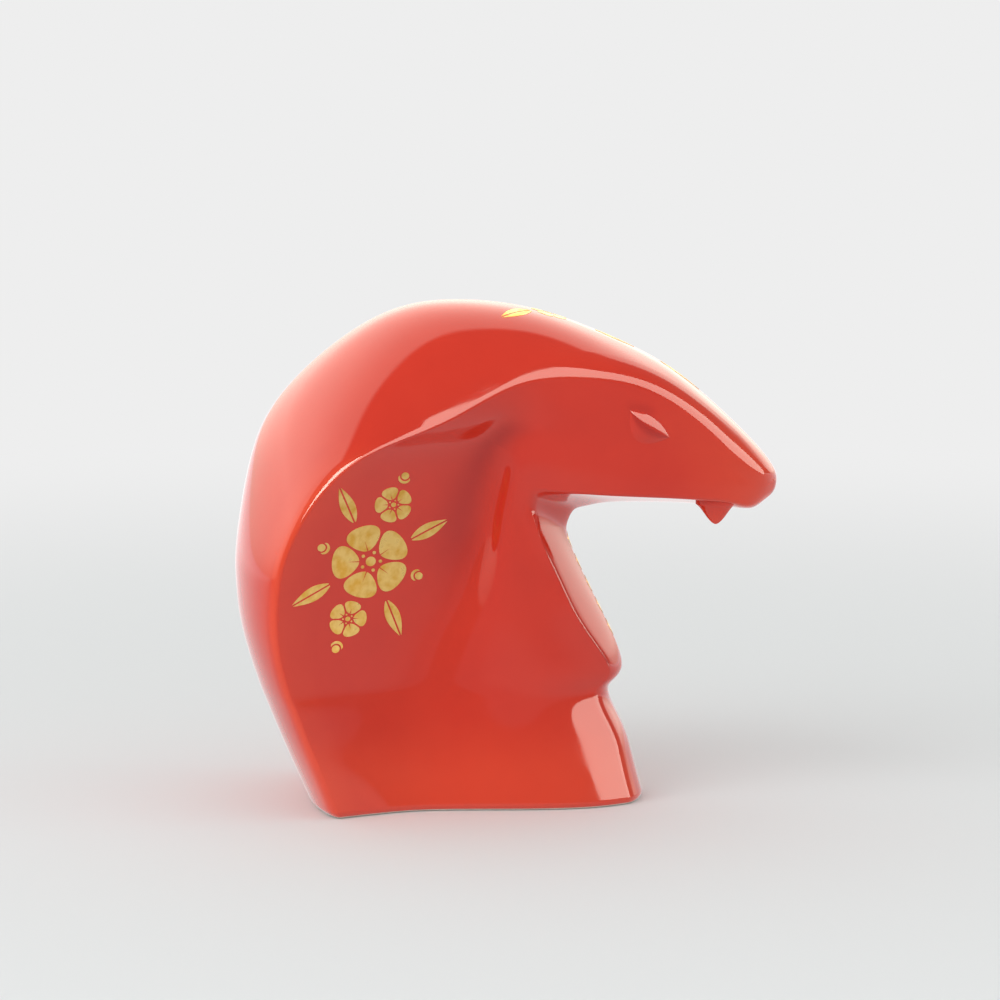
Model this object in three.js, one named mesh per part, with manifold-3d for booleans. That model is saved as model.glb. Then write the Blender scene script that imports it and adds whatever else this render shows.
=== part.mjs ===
// Porcelain snake figurine: a hooded snake rearing on a flat foot, its head stretched forward.
// Two hollow castings are luted together at the neck, and the belly panel, base plate, eyes, fangs and gold
// are set on them.
// Millimetres, +Z up, +X towards the snout. The figure is symmetric about Y = 0 and stands on Z = 0.

import * as THREE from "three";
import { mergeVertices } from "three/addons/utils/BufferGeometryUtils.js";
import Module from "manifold-3d";

// Driving dimensions of the castings and their joints
const WALL = 4; // wall of both hollow castings
const SLIP_GAP = 0.3; // film of slip between luted pieces
const COLLAR_LENGTH = 4; // reach of the head's collar into the neck at the spine, tapering to the throat
const BASE_PLATE_THICKNESS = 3.5;
const FOOT_RING_WIDTH = 2; // ring of the body left round the base plate
const VENT_DIAMETER = 8; // hole that lets the kiln gases out
const BELLY_THICKNESS = 1.8;

// Eye beads, almond shaped and tilted down towards the snout
const EYE_LENGTH = 9.4;
const EYE_HEIGHT = 4;
const EYE_DEPTH = 4;
const EYE_SUNK = 1.1; // how far the bead's middle lies under the cheek
const EYE_X = 28;
const EYE_Z = 77.4;
const EYE_TILT = 32; // degrees

// Fangs, one under each side of the upper lip
const FANG_WIDTH = 7.4;
const FANG_THICKNESS = 4;
const FANG_HEIGHT = 4.2; // below the lip
const FANG_ROOT = 3; // seated in the lip
const FANG_TIP_RADIUS = 0.7;
const FANG_X = 41.4;
const FANG_Y = 8.4;

// Fired gold, drawn thicker than the real film: a spray on each face of the hood, a row along the crown of
// the head and another down the belly
const GOLD_THICKNESS = 0.3;
const MOTIF_GAP = 1;
const BLOSSOM_RADIUS = 7.4;
const SMALL_BLOSSOM_RADIUS = 3.6;
const BUD_RADIUS = 1.2;
const LEAF_LENGTH = 8.5;
const LEAF_WIDTH = 2.8;
const PETALS = 5;
const PETAL_NOTCH = 0.62; // where two petals meet, as a share of the blossom's radius
const SPRAY_MIDDLE = [-26.6, 50.5]; // x and z of the large blossom
const SPRAY_BEARING = 68; // degrees from +X, the way the spray rises
const LEAF_SPREAD = 42; // degrees between a leaf and the spray's own line
const CROWN_X = 8.5;
const CROWN_PITCH = 13;
const LOZENGE_LENGTH = 3.4;
const LOZENGE_WIDTH = 1.8;
const LOZENGE_Z = 34.5; // lowest of the row
const LOZENGE_COUNT = 5;

// Sections of the form, from the foot to the snout. Each holds five points of a half section: the spine,
// [x, z] on the middle plane; the hood's rim, the valley beside the neck and the edge of belly or lip,
// [x, half width, z]; and the front, [x, z] on the middle plane again.
const SECTIONS = [
  [[-39.3, 0], [-33.2, 24.2, 0], [-13, 16, 0], [21.5, 12.4, 0], [27.4, 0]],
  [[-43.6, 10], [-36.6, 26.6, 10], [-16, 15.6, 10], [19.2, 12.6, 10], [25.2, 10]],
  [[-48.4, 21.5], [-40.8, 28.9, 21.5], [-17, 15, 21.5], [15, 12.2, 21.5], [20.6, 21.5]],
  [[-50.4, 27], [-42.8, 29.9, 27], [-16.4, 14.6, 27], [20.6, 6.8, 27], [23.2, 27]],
  [[-53, 36], [-44.6, 31.2, 36], [-13.8, 14, 36], [15.4, 10.4, 36], [20, 36]],
  [[-54.1, 45], [-44.5, 31.9, 45], [-11, 13.4, 45], [10.8, 12, 45], [15.6, 45]],
  [[-53.9, 53], [-42.9, 31.8, 53], [-8.4, 13, 53], [7.2, 12.8, 53], [12.4, 52.6]],
  [[-51.4, 67.5], [-37.5, 30, 64.5], [-5.6, 13, 61.8], [5.2, 13.4, 59.5], [12.3, 55.9]],
  [[-44.3, 82.2], [-27.3, 27.6, 73.6], [-3.5, 13.6, 70.2], [5.8, 14, 62.7], [13.5, 58.1]],
  [[-26.9, 96.4], [-12.9, 24.4, 80], [-1.3, 15, 76.7], [8.9, 14.6, 63.3], [15.7, 58.9]],
  [[-10.2, 100.3], [-0.9, 21.2, 85.2], [5.5, 16.4, 78], [13.8, 15, 63.3], [18.7, 59.5]],
  [[5.7, 98.4], [8.4, 18.8, 87.5], [13.4, 16.6, 76.1], [19.1, 15.2, 63], [22.7, 59.8]],
  [[20.2, 93.2], [18.8, 17.2, 87], [22.5, 16.2, 75.2], [26.4, 14.8, 62.6], [28.7, 59.8]],
  [[32.2, 87], [30, 15, 83.6], [32, 14.6, 73.1], [34.1, 13.6, 62.1], [35.7, 59.6]],
  [[42.8, 78.4], [40.7, 12.2, 75.8], [41.4, 12.4, 68.9], [41.9, 11.8, 61.3], [42.7, 59]],
  [[50.2, 71], [48.3, 9.2, 69], [47.9, 9.8, 65.4], [47.5, 9.4, 60.4], [48.3, 58.6]],
  [[53.2, 66.7], [51.7, 6, 66.1], [51, 6.8, 63.8], [49.7, 6.4, 60.5], [50.1, 59]],
  [[54, 65.2], [53.3, 3.4, 65], [53, 3.9, 63.4], [52, 3.6, 61.4], [52.2, 60.8]],
];
const SNOUT_TIP = [54.1, 63.3];

// Places along the form, counted in sections from the foot
const BELLY_FROM = 3;
const BELLY_TO = 7;
const NECK_SEAM = 9;
const HOLLOW_END = 12.6; // the snout is solid past here
const HOLLOW_TIP = 13.2;

// Shares that shape the arcs of a section
const ELLIPSE_PULL = 0.55; // pull of the curve's handles that gives a round quarter arc
const CREST_PULL = 0.35; // shorter pull at the hood's rim, which leaves an edge there
const CREST_FLARE = 0.92; // width of the rim's handle, as a share of the rim's own
const HOOD_HOLLOW = 0.06; // dish of the hood's face, as a share of its span
const NECK_BULGE = 0.05; // roundness of the neck and cheek, as a share of their span
const CREST_INSET = { ahead: 0.15, aside: 1.15 }; // way from a rim to the rim of the wall's inside
const EDGE_INSET = { ahead: -0.5, aside: 0.85 };

// Reach of a cutter past the surface that it cuts, and of a ray's start past the figure
const CUT_CLEAR = 1;
const RAY_START = 200;

// Fineness of the solids
const RINGS_PER_SECTION = 2;
const DOME_STEPS = 7;
const FLANK_STEPS = 10;
const FRONT_STEPS = 5;
const BEAD_SEGMENTS = 16;
const BEAD_RINGS = 10;
const FANG_SEGMENTS = 14;
const PETAL_STEPS = 6;
const LEAF_STEPS = 5;
const BUD_STEPS = 10;
const HALVINGS = 40; // of the span in which a height is looked for
const SPEED_STEP = 0.01; // part of a section over which a column's speed is taken

const GLAZE_RED = 0xc23a2c;
const GLAZE_RED_DEEP = 0xb4332a;
const BISQUE_WHITE = 0xe9e2d8;
const GOLD = 0xd2a853;

const wasm = await Module();
wasm.setup();

// Curves that run the length of the form
const lastSection = SECTIONS.length - 1;

function onMiddlePlane([x, z]) {
  return new THREE.Vector3(x, 0, z);
}

const guides = SECTIONS[0].map((_, i) => {
  const places = SECTIONS.map((section) => section[i]);
  const points = places.map((place) =>
    (place.length === 2 ? onMiddlePlane(place) : new THREE.Vector3(...place)));
  return new THREE.CatmullRomCurve3(points, false, "catmullrom");
});
const [spineGuide] = guides;

// The five points of half a section, drawn in by a depth under the surface
function sectionAt(u, depth = 0) {
  const [spine, crest, valley, edge, front] = guides.map((curve) => curve.getPoint(u / lastSection));
  const forward = front.clone().sub(spine).normalize();
  const drawIn = (point, ahead, aside) => {
    point.addScaledVector(forward, ahead * depth);
    point.y -= aside * depth;
  };
  drawIn(spine, 1, 0);
  drawIn(crest, CREST_INSET.ahead, CREST_INSET.aside);
  drawIn(valley, 0, 1);
  drawIn(edge, EDGE_INSET.ahead, EDGE_INSET.aside);
  drawIn(front, -1, 0);
  return { spine, crest, valley, edge, front };
}

// Arcs of one half section
function domeArc({ spine, crest }) {
  const leave = spine.clone().setY(crest.y * ELLIPSE_PULL);
  const arrive = crest.clone().lerp(spine, CREST_PULL).setY(crest.y * CREST_FLARE);
  return new THREE.CubicBezierCurve3(spine, leave, arrive, crest);
}

function flankArc({ crest, valley, edge }) {
  const face = crest.clone().lerp(valley, 0.5);
  face.y -= HOOD_HOLLOW * crest.distanceTo(valley);
  const neck = valley.clone().lerp(edge, 0.5);
  neck.y += NECK_BULGE * valley.distanceTo(edge);
  return new THREE.CatmullRomCurve3([crest, face, valley, neck, edge], false, "catmullrom");
}

function frontArc({ edge, front }) {
  const leave = edge.clone().lerp(front, ELLIPSE_PULL).setY(edge.y);
  const arrive = front.clone().setY(edge.y * ELLIPSE_PULL);
  return new THREE.CubicBezierCurve3(edge, leave, arrive, front);
}

// Columns round a section: down one side from the spine to the front, and back up the other
function halfColumns(side) {
  const steps = [[domeArc, DOME_STEPS], [flankArc, FLANK_STEPS], [frontArc, FRONT_STEPS]];
  return steps.flatMap(([arc, count]) =>
    Array.from({ length: count }, (_, i) => ({ arc, t: i / count, side })));
}

const columns = [
  ...halfColumns(1),
  { arc: frontArc, t: 1, side: 1 },
  ...halfColumns(-1).slice(1).reverse(),
];

function formPoint(u, column, depth = 0) {
  const point = column.arc(sectionAt(u, depth)).getPoint(column.t);
  point.y *= column.side;
  return point;
}

// The place that lies so many millimetres further along a column
function along(u, column, distance) {
  const before = formPoint(u - SPEED_STEP, column);
  const speed = formPoint(u + SPEED_STEP, column).distanceTo(before) / (2 * SPEED_STEP);
  return u + distance / speed;
}

function coreAt(u) {
  const { spine, front } = sectionAt(u);
  return spine.lerp(front, 0.5);
}

function ring(u, depth, shift = 0) {
  return columns.map((column) => formPoint(shift ? along(u, column, shift) : u, column, depth));
}

function rings(from, to, depth) {
  const count = Math.ceil(Math.abs(to - from) * RINGS_PER_SECTION);
  return Array.from({ length: count + 1 }, (_, i) => ring(from + ((to - from) * i) / count, depth));
}

// The upright part of the form is level from section to section, so a height gives a place along it
function placeAtHeight(height) {
  let low = 0;
  let high = BELLY_FROM;
  for (let halving = 0; halving < HALVINGS; halving += 1) {
    const middle = (low + high) / 2;
    if (spineGuide.getPoint(middle / lastSection).z < height) low = middle;
    else high = middle;
  }
  return low;
}

// Closed solids from points and triangles
function solid(points, triangles) {
  const geometry = new THREE.BufferGeometry().setFromPoints(points);
  geometry.setIndex(triangles.flat());
  const volume = triangles.reduce((sum, [a, b, c]) =>
    sum + points[a].dot(points[b].clone().cross(points[c])), 0);
  if (volume < 0) geometry.setIndex(triangles.flatMap(([a, b, c]) => [a, c, b]));
  return geometry;
}

// Rings of equal length, skinned one to the next. Two tips close the ends, or else the rings form a loop.
function ringSolid(loops, tips = null) {
  const size = loops[0].length;
  const points = loops.flat();
  const triangles = [];
  const spans = tips ? loops.length - 1 : loops.length;
  for (let i = 0; i < spans; i += 1) {
    const next = (i + 1) % loops.length;
    for (let j = 0; j < size; j += 1) {
      const k = (j + 1) % size;
      const [a, b, c, d] = [i * size + j, i * size + k, next * size + k, next * size + j];
      triangles.push([a, b, c], [a, c, d]);
    }
  }
  if (tips) {
    const last = (loops.length - 1) * size;
    points.push(...tips);
    for (let j = 0; j < size; j += 1) {
      const k = (j + 1) % size;
      triangles.push([points.length - 2, k, j], [points.length - 1, last + j, last + k]);
    }
  }
  return solid(points, triangles);
}

// A curved slab between two grids of the same size
function slabSolid(outerRows, innerRows) {
  const loops = outerRows.map((row, i) => [...row, ...[...innerRows[i]].reverse()]);
  const size = loops[0].length;
  const points = loops.flat();
  const triangles = [];
  for (let i = 0; i < loops.length - 1; i += 1) {
    for (let j = 0; j < size; j += 1) {
      const k = (j + 1) % size;
      const [a, b, c, d] = [i * size + j, i * size + k, (i + 1) * size + k, (i + 1) * size + j];
      triangles.push([a, b, c], [a, c, d]);
    }
  }
  const last = (loops.length - 1) * size;
  for (let j = 0; j < size / 2 - 1; j += 1) {
    const [a, b, c, d] = [j, j + 1, size - 2 - j, size - 1 - j];
    triangles.push([a, c, b], [a, d, c], [last + a, last + b, last + c], [last + a, last + c, last + d]);
  }
  return solid(points, triangles);
}

// Cuts, made on closed solids
function toManifold(geometry) {
  const bare = geometry.clone();
  bare.deleteAttribute("normal");
  bare.deleteAttribute("uv");
  const merged = mergeVertices(bare);
  const vertProperties = new Float32Array(merged.attributes.position.array);
  const triVerts = new Uint32Array(merged.index.array);
  return new wasm.Manifold(new wasm.Mesh({ numProp: 3, vertProperties, triVerts }));
}

function cut(geometry, cutters) {
  const result = cutters.reduce((body, cutter) => body.subtract(toManifold(cutter)), toManifold(geometry));
  const mesh = result.getMesh();
  const shaped = new THREE.BufferGeometry();
  shaped.setAttribute("position", new THREE.BufferAttribute(new Float32Array(mesh.vertProperties), 3));
  shaped.setIndex(new THREE.BufferAttribute(new Uint32Array(mesh.triVerts), 1));
  return shaped;
}

// Body casting, from the foot ring to the socket at the neck
const socketDepth = WALL / 2;
const collarPlace = along(NECK_SEAM, columns[0], -COLLAR_LENGTH);
const plateLevel = placeAtHeight(BASE_PLATE_THICKNESS + SLIP_GAP);

function bodyShell() {
  const lowest = Math.min(...columns.map((column) => along(collarPlace, column, -SLIP_GAP)));
  const innerTop = Math.floor(lowest * RINGS_PER_SECTION) / RINGS_PER_SECTION;
  return ringSolid([
    ...rings(0, NECK_SEAM - 1 / RINGS_PER_SECTION, 0),
    ring(NECK_SEAM, 0, -SLIP_GAP),
    ring(NECK_SEAM, socketDepth, -SLIP_GAP),
    ring(collarPlace, socketDepth, -SLIP_GAP),
    ring(collarPlace, WALL, -SLIP_GAP),
    ...rings(innerTop, plateLevel, WALL),
    ring(plateLevel, FOOT_RING_WIDTH),
    ring(0, FOOT_RING_WIDTH),
  ]);
}

// Head casting, from its collar to the solid snout
function headShell() {
  return ringSolid([
    ...rings(lastSection, NECK_SEAM, 0),
    ring(NECK_SEAM, socketDepth + SLIP_GAP),
    ring(collarPlace, socketDepth + SLIP_GAP),
    ...rings(collarPlace, HOLLOW_END, WALL),
  ], [onMiddlePlane(SNOUT_TIP), coreAt(HOLLOW_TIP)]);
}

// Belly panel and the recess that takes it
const bellyColumns = columns.filter((column) => column.arc === frontArc);

function bellySlab(trim, outerDepth, innerDepth) {
  const count = (BELLY_TO - BELLY_FROM) * RINGS_PER_SECTION;
  const row = (i, depth) => bellyColumns.map((column) => {
    const end = i === 0 ? trim : i === count ? -trim : 0;
    const place = along(BELLY_FROM + i / RINGS_PER_SECTION, column, end);
    const { edge, front } = sectionAt(place);
    const inset = column.t === 0 ? trim / edge.distanceTo(front) : 0;
    return formPoint(place, { ...column, t: column.t + inset }, depth);
  });
  const rows = (depth) => Array.from({ length: count + 1 }, (_, i) => row(i, depth));
  return slabSolid(rows(outerDepth), rows(innerDepth));
}

// Base plate with its vent, flush with the foot ring
function basePlate() {
  const top = placeAtHeight(BASE_PLATE_THICKNESS);
  const edge = FOOT_RING_WIDTH + SLIP_GAP;
  const middle = coreAt(0);
  const vent = (height) => ring(0, 0).map((point) => {
    const outward = point.sub(middle).normalize();
    return middle.clone().addScaledVector(outward, VENT_DIAMETER / 2).setZ(height);
  });
  return ringSolid([ring(0, edge), ring(top, edge), vent(BASE_PLATE_THICKNESS), vent(0)]);
}

// Surface points found by a ray, for the pieces set on the castings
const caster = new THREE.Raycaster();

function drop(target, from, direction) {
  caster.set(from, direction);
  return caster.intersectObject(target)[0];
}

// Eye bead, or its socket when grown by the slip's gap
function eyeSolid(head, side, grow) {
  const inward = new THREE.Vector3(0, -side, 0);
  const hit = drop(head, new THREE.Vector3(EYE_X, side * RAY_START, EYE_Z), inward);
  const outward = hit.face.normal.clone();
  const tilt = THREE.MathUtils.degToRad(EYE_TILT);
  const lengthwise = new THREE.Vector3(Math.cos(tilt), 0, -Math.sin(tilt));
  lengthwise.projectOnPlane(outward).normalize();
  const across = outward.clone().cross(lengthwise);
  const bead = new THREE.SphereGeometry(0.5, BEAD_SEGMENTS, BEAD_RINGS);
  bead.scale(EYE_LENGTH + 2 * grow, EYE_HEIGHT + 2 * grow, EYE_DEPTH + 2 * grow);
  bead.applyMatrix4(new THREE.Matrix4().makeBasis(lengthwise, across, outward));
  const middle = hit.point.clone().addScaledVector(outward, -EYE_SUNK);
  return bead.translate(middle.x, middle.y, middle.z);
}

// Fang with its root, or its socket when grown by the slip's gap
function fangSolid(head, side, grow) {
  const up = new THREE.Vector3(0, 0, 1);
  const lip = drop(head, new THREE.Vector3(FANG_X, side * FANG_Y, -RAY_START), up).point;
  const radius = FANG_WIDTH / 2 + grow;
  const tipRadius = FANG_TIP_RADIUS + grow;
  const profile = [
    new THREE.Vector2(0, -FANG_HEIGHT - grow),
    new THREE.Vector2(tipRadius, -FANG_HEIGHT + FANG_TIP_RADIUS - grow),
    new THREE.Vector2((radius + tipRadius) / 2, -FANG_HEIGHT / 2 - grow),
    new THREE.Vector2(radius, 0),
    new THREE.Vector2(radius, FANG_ROOT + grow),
    new THREE.Vector2(0, FANG_ROOT + grow),
  ];
  const fang = new THREE.LatheGeometry(profile, FANG_SEGMENTS);
  fang.rotateX(Math.PI / 2);
  fang.scale(1, (FANG_THICKNESS / 2 + grow) / radius, 1);
  return fang.translate(lip.x, lip.y, lip.z);
}

// Outlines of the gold motifs, flat and round their own middle
function blossomOutline(radius) {
  const count = PETALS * PETAL_STEPS;
  return Array.from({ length: count }, (_, i) => {
    const turn = (2 * Math.PI * i) / count;
    const swell = Math.sqrt(Math.abs(Math.sin((PETALS * turn) / 2)));
    const reach = radius * (PETAL_NOTCH + (1 - PETAL_NOTCH) * swell);
    return new THREE.Vector2(reach * Math.cos(turn), reach * Math.sin(turn));
  });
}

function leafOutline(length, width) {
  const edge = (sign) => Array.from({ length: LEAF_STEPS }, (_, i) => {
    const t = sign > 0 ? i / LEAF_STEPS : 1 - i / LEAF_STEPS;
    return new THREE.Vector2((t - 0.5) * length, (sign * width * Math.sin(Math.PI * t)) / 2);
  });
  return [...edge(1), ...edge(-1)];
}

function budOutline(radius) {
  return Array.from({ length: BUD_STEPS }, (_, i) => {
    const turn = (2 * Math.PI * i) / BUD_STEPS;
    return new THREE.Vector2(radius * Math.cos(turn), radius * Math.sin(turn));
  });
}

// A motif laid on a surface: face tells which way its rays fall, place and turn put it in that view
const FACES = {
  hoodRight: { right: [1, 0, 0], up: [0, 0, 1], away: [0, -1, 0] },
  hoodLeft: { right: [1, 0, 0], up: [0, 0, 1], away: [0, 1, 0] },
  crown: { right: [1, 0, 0], up: [0, 1, 0], away: [0, 0, 1] },
  belly: { right: [0, 0, 1], up: [0, 1, 0], away: [1, 0, 0] },
};

function goldFilm(target, face, outline, place, turn) {
  const [right, up, away] = [face.right, face.up, face.away].map((axis) => new THREE.Vector3(...axis));
  const inward = away.clone().negate();
  const seat = (flat) => {
    const spot = flat.clone().rotateAround(new THREE.Vector2(), THREE.MathUtils.degToRad(turn));
    const from = away.clone().multiplyScalar(RAY_START);
    from.addScaledVector(right, place[0] + spot.x).addScaledVector(up, place[1] + spot.y);
    return drop(target, from, inward).point;
  };
  const loop = (lift) => outline.map((flat) => seat(flat).addScaledVector(away, lift));
  const middle = (lift) => seat(new THREE.Vector2()).addScaledVector(away, lift);
  const [low, high] = [SLIP_GAP, SLIP_GAP + GOLD_THICKNESS];
  return ringSolid([loop(high), loop(low)], [middle(high), middle(low)]);
}

// Assembly
const figurine = new THREE.Group();

function add(name, geometry, color, roughness, metalness = 0) {
  const material = new THREE.MeshStandardMaterial({ color, roughness, metalness, flatShading: true });
  const mesh = new THREE.Mesh(geometry, material);
  mesh.name = name;
  figurine.add(mesh);
  return mesh;
}

const SIDES = { right: -1, left: 1 };

const recess = bellySlab(0, -CUT_CLEAR, BELLY_THICKNESS + SLIP_GAP);
const body = add("body_casting", cut(bodyShell(), [recess]), GLAZE_RED, 0.08);

const headForm = new THREE.Mesh(headShell(), new THREE.MeshStandardMaterial({ side: THREE.DoubleSide }));
const sockets = Object.values(SIDES).flatMap((side) =>
  [eyeSolid(headForm, side, SLIP_GAP), fangSolid(headForm, side, SLIP_GAP)]);
const head = add("head_casting", cut(headForm.geometry, sockets), GLAZE_RED, 0.08);

const belly = add("belly_panel", bellySlab(SLIP_GAP, 0, BELLY_THICKNESS), GLAZE_RED_DEEP, 0.08);
add("base_plate", basePlate(), BISQUE_WHITE, 0.8);

for (const [name, side] of Object.entries(SIDES)) {
  add(`${name}_eye`, eyeSolid(headForm, side, 0), GLAZE_RED_DEEP, 0.05);
  add(`${name}_fang`, fangSolid(headForm, side, 0), GLAZE_RED, 0.08);
}

// Gold motifs: each has its outline, its reach from its own middle and the way it points
const MOTIFS = {
  blossom: { outline: blossomOutline(BLOSSOM_RADIUS), reach: BLOSSOM_RADIUS },
  small_blossom: { outline: blossomOutline(SMALL_BLOSSOM_RADIUS), reach: SMALL_BLOSSOM_RADIUS },
  leaf: { outline: leafOutline(LEAF_LENGTH, LEAF_WIDTH), reach: LEAF_LENGTH / 2 },
  bud: { outline: budOutline(BUD_RADIUS), reach: BUD_RADIUS },
  lozenge: { outline: leafOutline(LOZENGE_LENGTH, LOZENGE_WIDTH), reach: LOZENGE_LENGTH / 2 },
};

function addGold(name, target, face, motif, place, turn) {
  add(`gold_${name}`, goldFilm(target, face, MOTIFS[motif].outline, place, turn), GOLD, 0.25, 1);
}

// The place beside a motif, at a bearing in degrees and with other motifs between them if need be
function beside(middle, bearing, ...chain) {
  const [first, ...others] = chain.map((motif) => MOTIFS[motif].reach);
  const last = others.pop();
  const between = others.reduce((sum, reach) => sum + 2 * reach + MOTIF_GAP, 0);
  const offset = new THREE.Vector2(first + MOTIF_GAP + between + last, 0);
  offset.rotateAround(new THREE.Vector2(), THREE.MathUtils.degToRad(bearing));
  return [middle[0] + offset.x, middle[1] + offset.y];
}

// Spray on each face of the hood, the lower half the upper one turned half round
for (const side of Object.keys(SIDES)) {
  const face = side === "right" ? FACES.hoodRight : FACES.hoodLeft;
  const lay = (name, motif, place, turn) => addGold(`${side}_${name}`, body, face, motif, place, turn);
  lay("blossom", "blossom", SPRAY_MIDDLE, SPRAY_BEARING);
  for (const [arm, bearing] of [["upper", SPRAY_BEARING], ["lower", SPRAY_BEARING + 180]]) {
    const next = (turn, ...chain) => beside(SPRAY_MIDDLE, bearing + turn, "blossom", ...chain);
    lay(`${arm}_blossom`, "small_blossom", next(0, "small_blossom"), bearing);
    lay(`${arm}_bud`, "bud", next(0, "small_blossom", "bud"), 0);
    lay(`${arm}_side_bud`, "bud", next(90, "bud"), 0);
    lay(`${arm}_rear_leaf`, "leaf", next(LEAF_SPREAD, "leaf"), bearing + LEAF_SPREAD);
    lay(`${arm}_fore_leaf`, "leaf", next(-LEAF_SPREAD, "leaf"), bearing - LEAF_SPREAD);
  }
}

// Row along the crown of the head, from the blossom and its two leaves to the brow
const crownMiddle = [CROWN_X, 0];
addGold("crown_blossom", head, FACES.crown, "small_blossom", crownMiddle, 0);
for (const [side, sign] of Object.entries(SIDES)) {
  const bearing = 180 - sign * LEAF_SPREAD;
  const place = beside(crownMiddle, bearing, "small_blossom", "leaf");
  addGold(`crown_${side}_leaf`, head, FACES.crown, "leaf", place, bearing);
}
for (const [i, name] of ["crown_leaf", "brow_leaf"].entries()) {
  addGold(name, head, FACES.crown, "leaf", [CROWN_X + (i + 1) * CROWN_PITCH, 0], 0);
}

// Lozenges down the belly
for (let i = 0; i < LOZENGE_COUNT; i += 1) {
  const height = LOZENGE_Z + i * (LOZENGE_LENGTH + MOTIF_GAP);
  addGold(`belly_lozenge_${i + 1}`, belly, FACES.belly, "lozenge", [height, 0], 0);
}

export default figurine;
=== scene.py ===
"""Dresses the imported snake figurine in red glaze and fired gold, and stands it in a plain studio."""

import math

import bpy
import numpy as np
from bpy.props import FloatProperty, FloatVectorProperty, PointerProperty
from bpy.types import Operator, Panel, PropertyGroup
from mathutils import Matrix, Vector
from mathutils.bvhtree import BVHTree
from mathutils.geometry import delaunay_2d_cdt


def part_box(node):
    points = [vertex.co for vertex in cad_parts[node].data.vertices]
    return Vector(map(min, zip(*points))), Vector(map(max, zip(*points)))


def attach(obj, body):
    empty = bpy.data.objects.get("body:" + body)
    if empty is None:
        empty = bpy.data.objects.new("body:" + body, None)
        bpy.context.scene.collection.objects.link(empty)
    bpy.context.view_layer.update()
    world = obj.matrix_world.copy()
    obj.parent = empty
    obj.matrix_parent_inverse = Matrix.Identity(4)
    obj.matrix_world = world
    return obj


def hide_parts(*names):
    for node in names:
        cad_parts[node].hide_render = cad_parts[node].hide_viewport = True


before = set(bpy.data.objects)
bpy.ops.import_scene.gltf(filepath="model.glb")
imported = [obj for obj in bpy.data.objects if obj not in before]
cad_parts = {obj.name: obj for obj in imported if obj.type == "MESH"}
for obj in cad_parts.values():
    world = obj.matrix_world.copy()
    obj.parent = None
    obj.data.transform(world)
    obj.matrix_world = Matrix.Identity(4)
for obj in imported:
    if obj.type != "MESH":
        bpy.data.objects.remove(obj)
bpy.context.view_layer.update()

bl_info = {
    "name": "Snake Figurine",
    "version": (1, 0, 0),
    "blender": (4, 5, 0),
    "location": "View3D > Sidebar > Figurine",
    "description": "Builds a glazed porcelain snake figurine with fired gold, on its frame",
    "category": "Add Mesh",
}

MM = 0.001
BODY = "root"
SIDES = ("right", "left")
FORWARD, ASIDE, UP = np.eye(3)
MIRROR = np.array((1.0, -1.0, 1.0))
TINY = 1e-12

# Curves along the form in millimetres, through 19 sections from the foot to the snout. The spine and the
# front lie on the middle plane and hold x and z; the others hold x, half width and z.
SPINE = [(-39.3, 0), (-42.8, 8), (-45.8, 15), (-48.7, 22.2), (-50.3, 26.6), (-53, 36), (-54.1, 45),
         (-53.9, 53), (-51.4, 67.5), (-44.3, 82.2), (-26.9, 96.4), (-10.2, 100.3), (5.7, 98.4),
         (20.2, 93.2), (32.2, 87), (42.8, 78.4), (50.2, 71), (53.1, 67.2), (53.75, 65.9)]
# The hood's rim, which runs on as the edge of the head's crown
RIM = [(-33.2, 24.2, 0), (-36, 26.2, 8), (-38.6, 27.6, 15), (-41.1, 29, 22.2), (-42.7, 29.8, 26.6),
       (-44.6, 31.2, 36), (-44.5, 31.9, 45), (-42.9, 31.8, 53), (-36.9, 30, 64), (-26.6, 26.8, 72.5),
       (-12.6, 22.4, 77.9), (-0.9, 19.2, 83.9), (8.4, 17.7, 87), (18.8, 16.8, 87.8), (30, 15, 84.6),
       (40.7, 12.2, 76.6), (48.2, 9.2, 69), (51.5, 6.6, 66.3), (53, 4.2, 65.4)]
# The valley between hood and neck, which runs on along the cheek
VALLEY = [(-13, 16.2, 0), (-15.4, 15.05, 8), (-16.7, 14, 15), (-17, 12.95, 22.2), (-16.5, 12.35, 26.6),
          (-13.8, 11.3, 36), (-11, 10.8, 45), (-8.4, 10.7, 53), (-6.6, 11, 58.5), (-4.6, 11.8, 66.5),
          (-2.6, 13.2, 73.2), (3.2, 15.6, 77), (12.5, 16.4, 75.8), (22.5, 16, 75.2), (32, 14.5, 73.1),
          (41.4, 12, 68.9), (47.9, 9.2, 65.2), (51.2, 6.7, 64), (53, 4.4, 64.2)]
NECK = [(3, 15.8, 0), (0.5, 14.75, 8), (-1.5, 13.85, 15), (-2.2, 13.2, 22.2), (-2, 13.1, 26.6),
        (-2.4, 13.2, 36), (-2, 13, 45), (-1.2, 12.8, 53), (-0.8, 12.9, 59), (0.6, 13.6, 65.4),
        (2.6, 14.9, 70), (7.2, 15.9, 72.4), (15, 16.2, 71.6), (23.8, 15.7, 71), (32.7, 14.3, 69.4),
        (41.6, 11.95, 66.4), (47.8, 9.15, 63.6), (50.9, 6.6, 62.8), (52.8, 4.3, 63.2)]
SHOULDER = [(16.5, 14, 0), (14.5, 12.9, 8), (12, 12.2, 15), (9.5, 11.9, 22.2), (11, 11.8, 26.6),
            (7, 12.6, 36), (4.6, 12.8, 45), (3.2, 13, 53), (2.4, 13.4, 59.3), (3.4, 14.1, 64),
            (5.8, 15, 66.6), (10.4, 15.8, 67.8), (17.1, 15.9, 67.4), (25.1, 15.4, 66.8), (33.4, 14, 65.8),
            (41.7, 11.8, 63.8), (47.6, 9, 62), (50.6, 6.4, 61.6), (52.5, 4.1, 62.2)]
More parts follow.
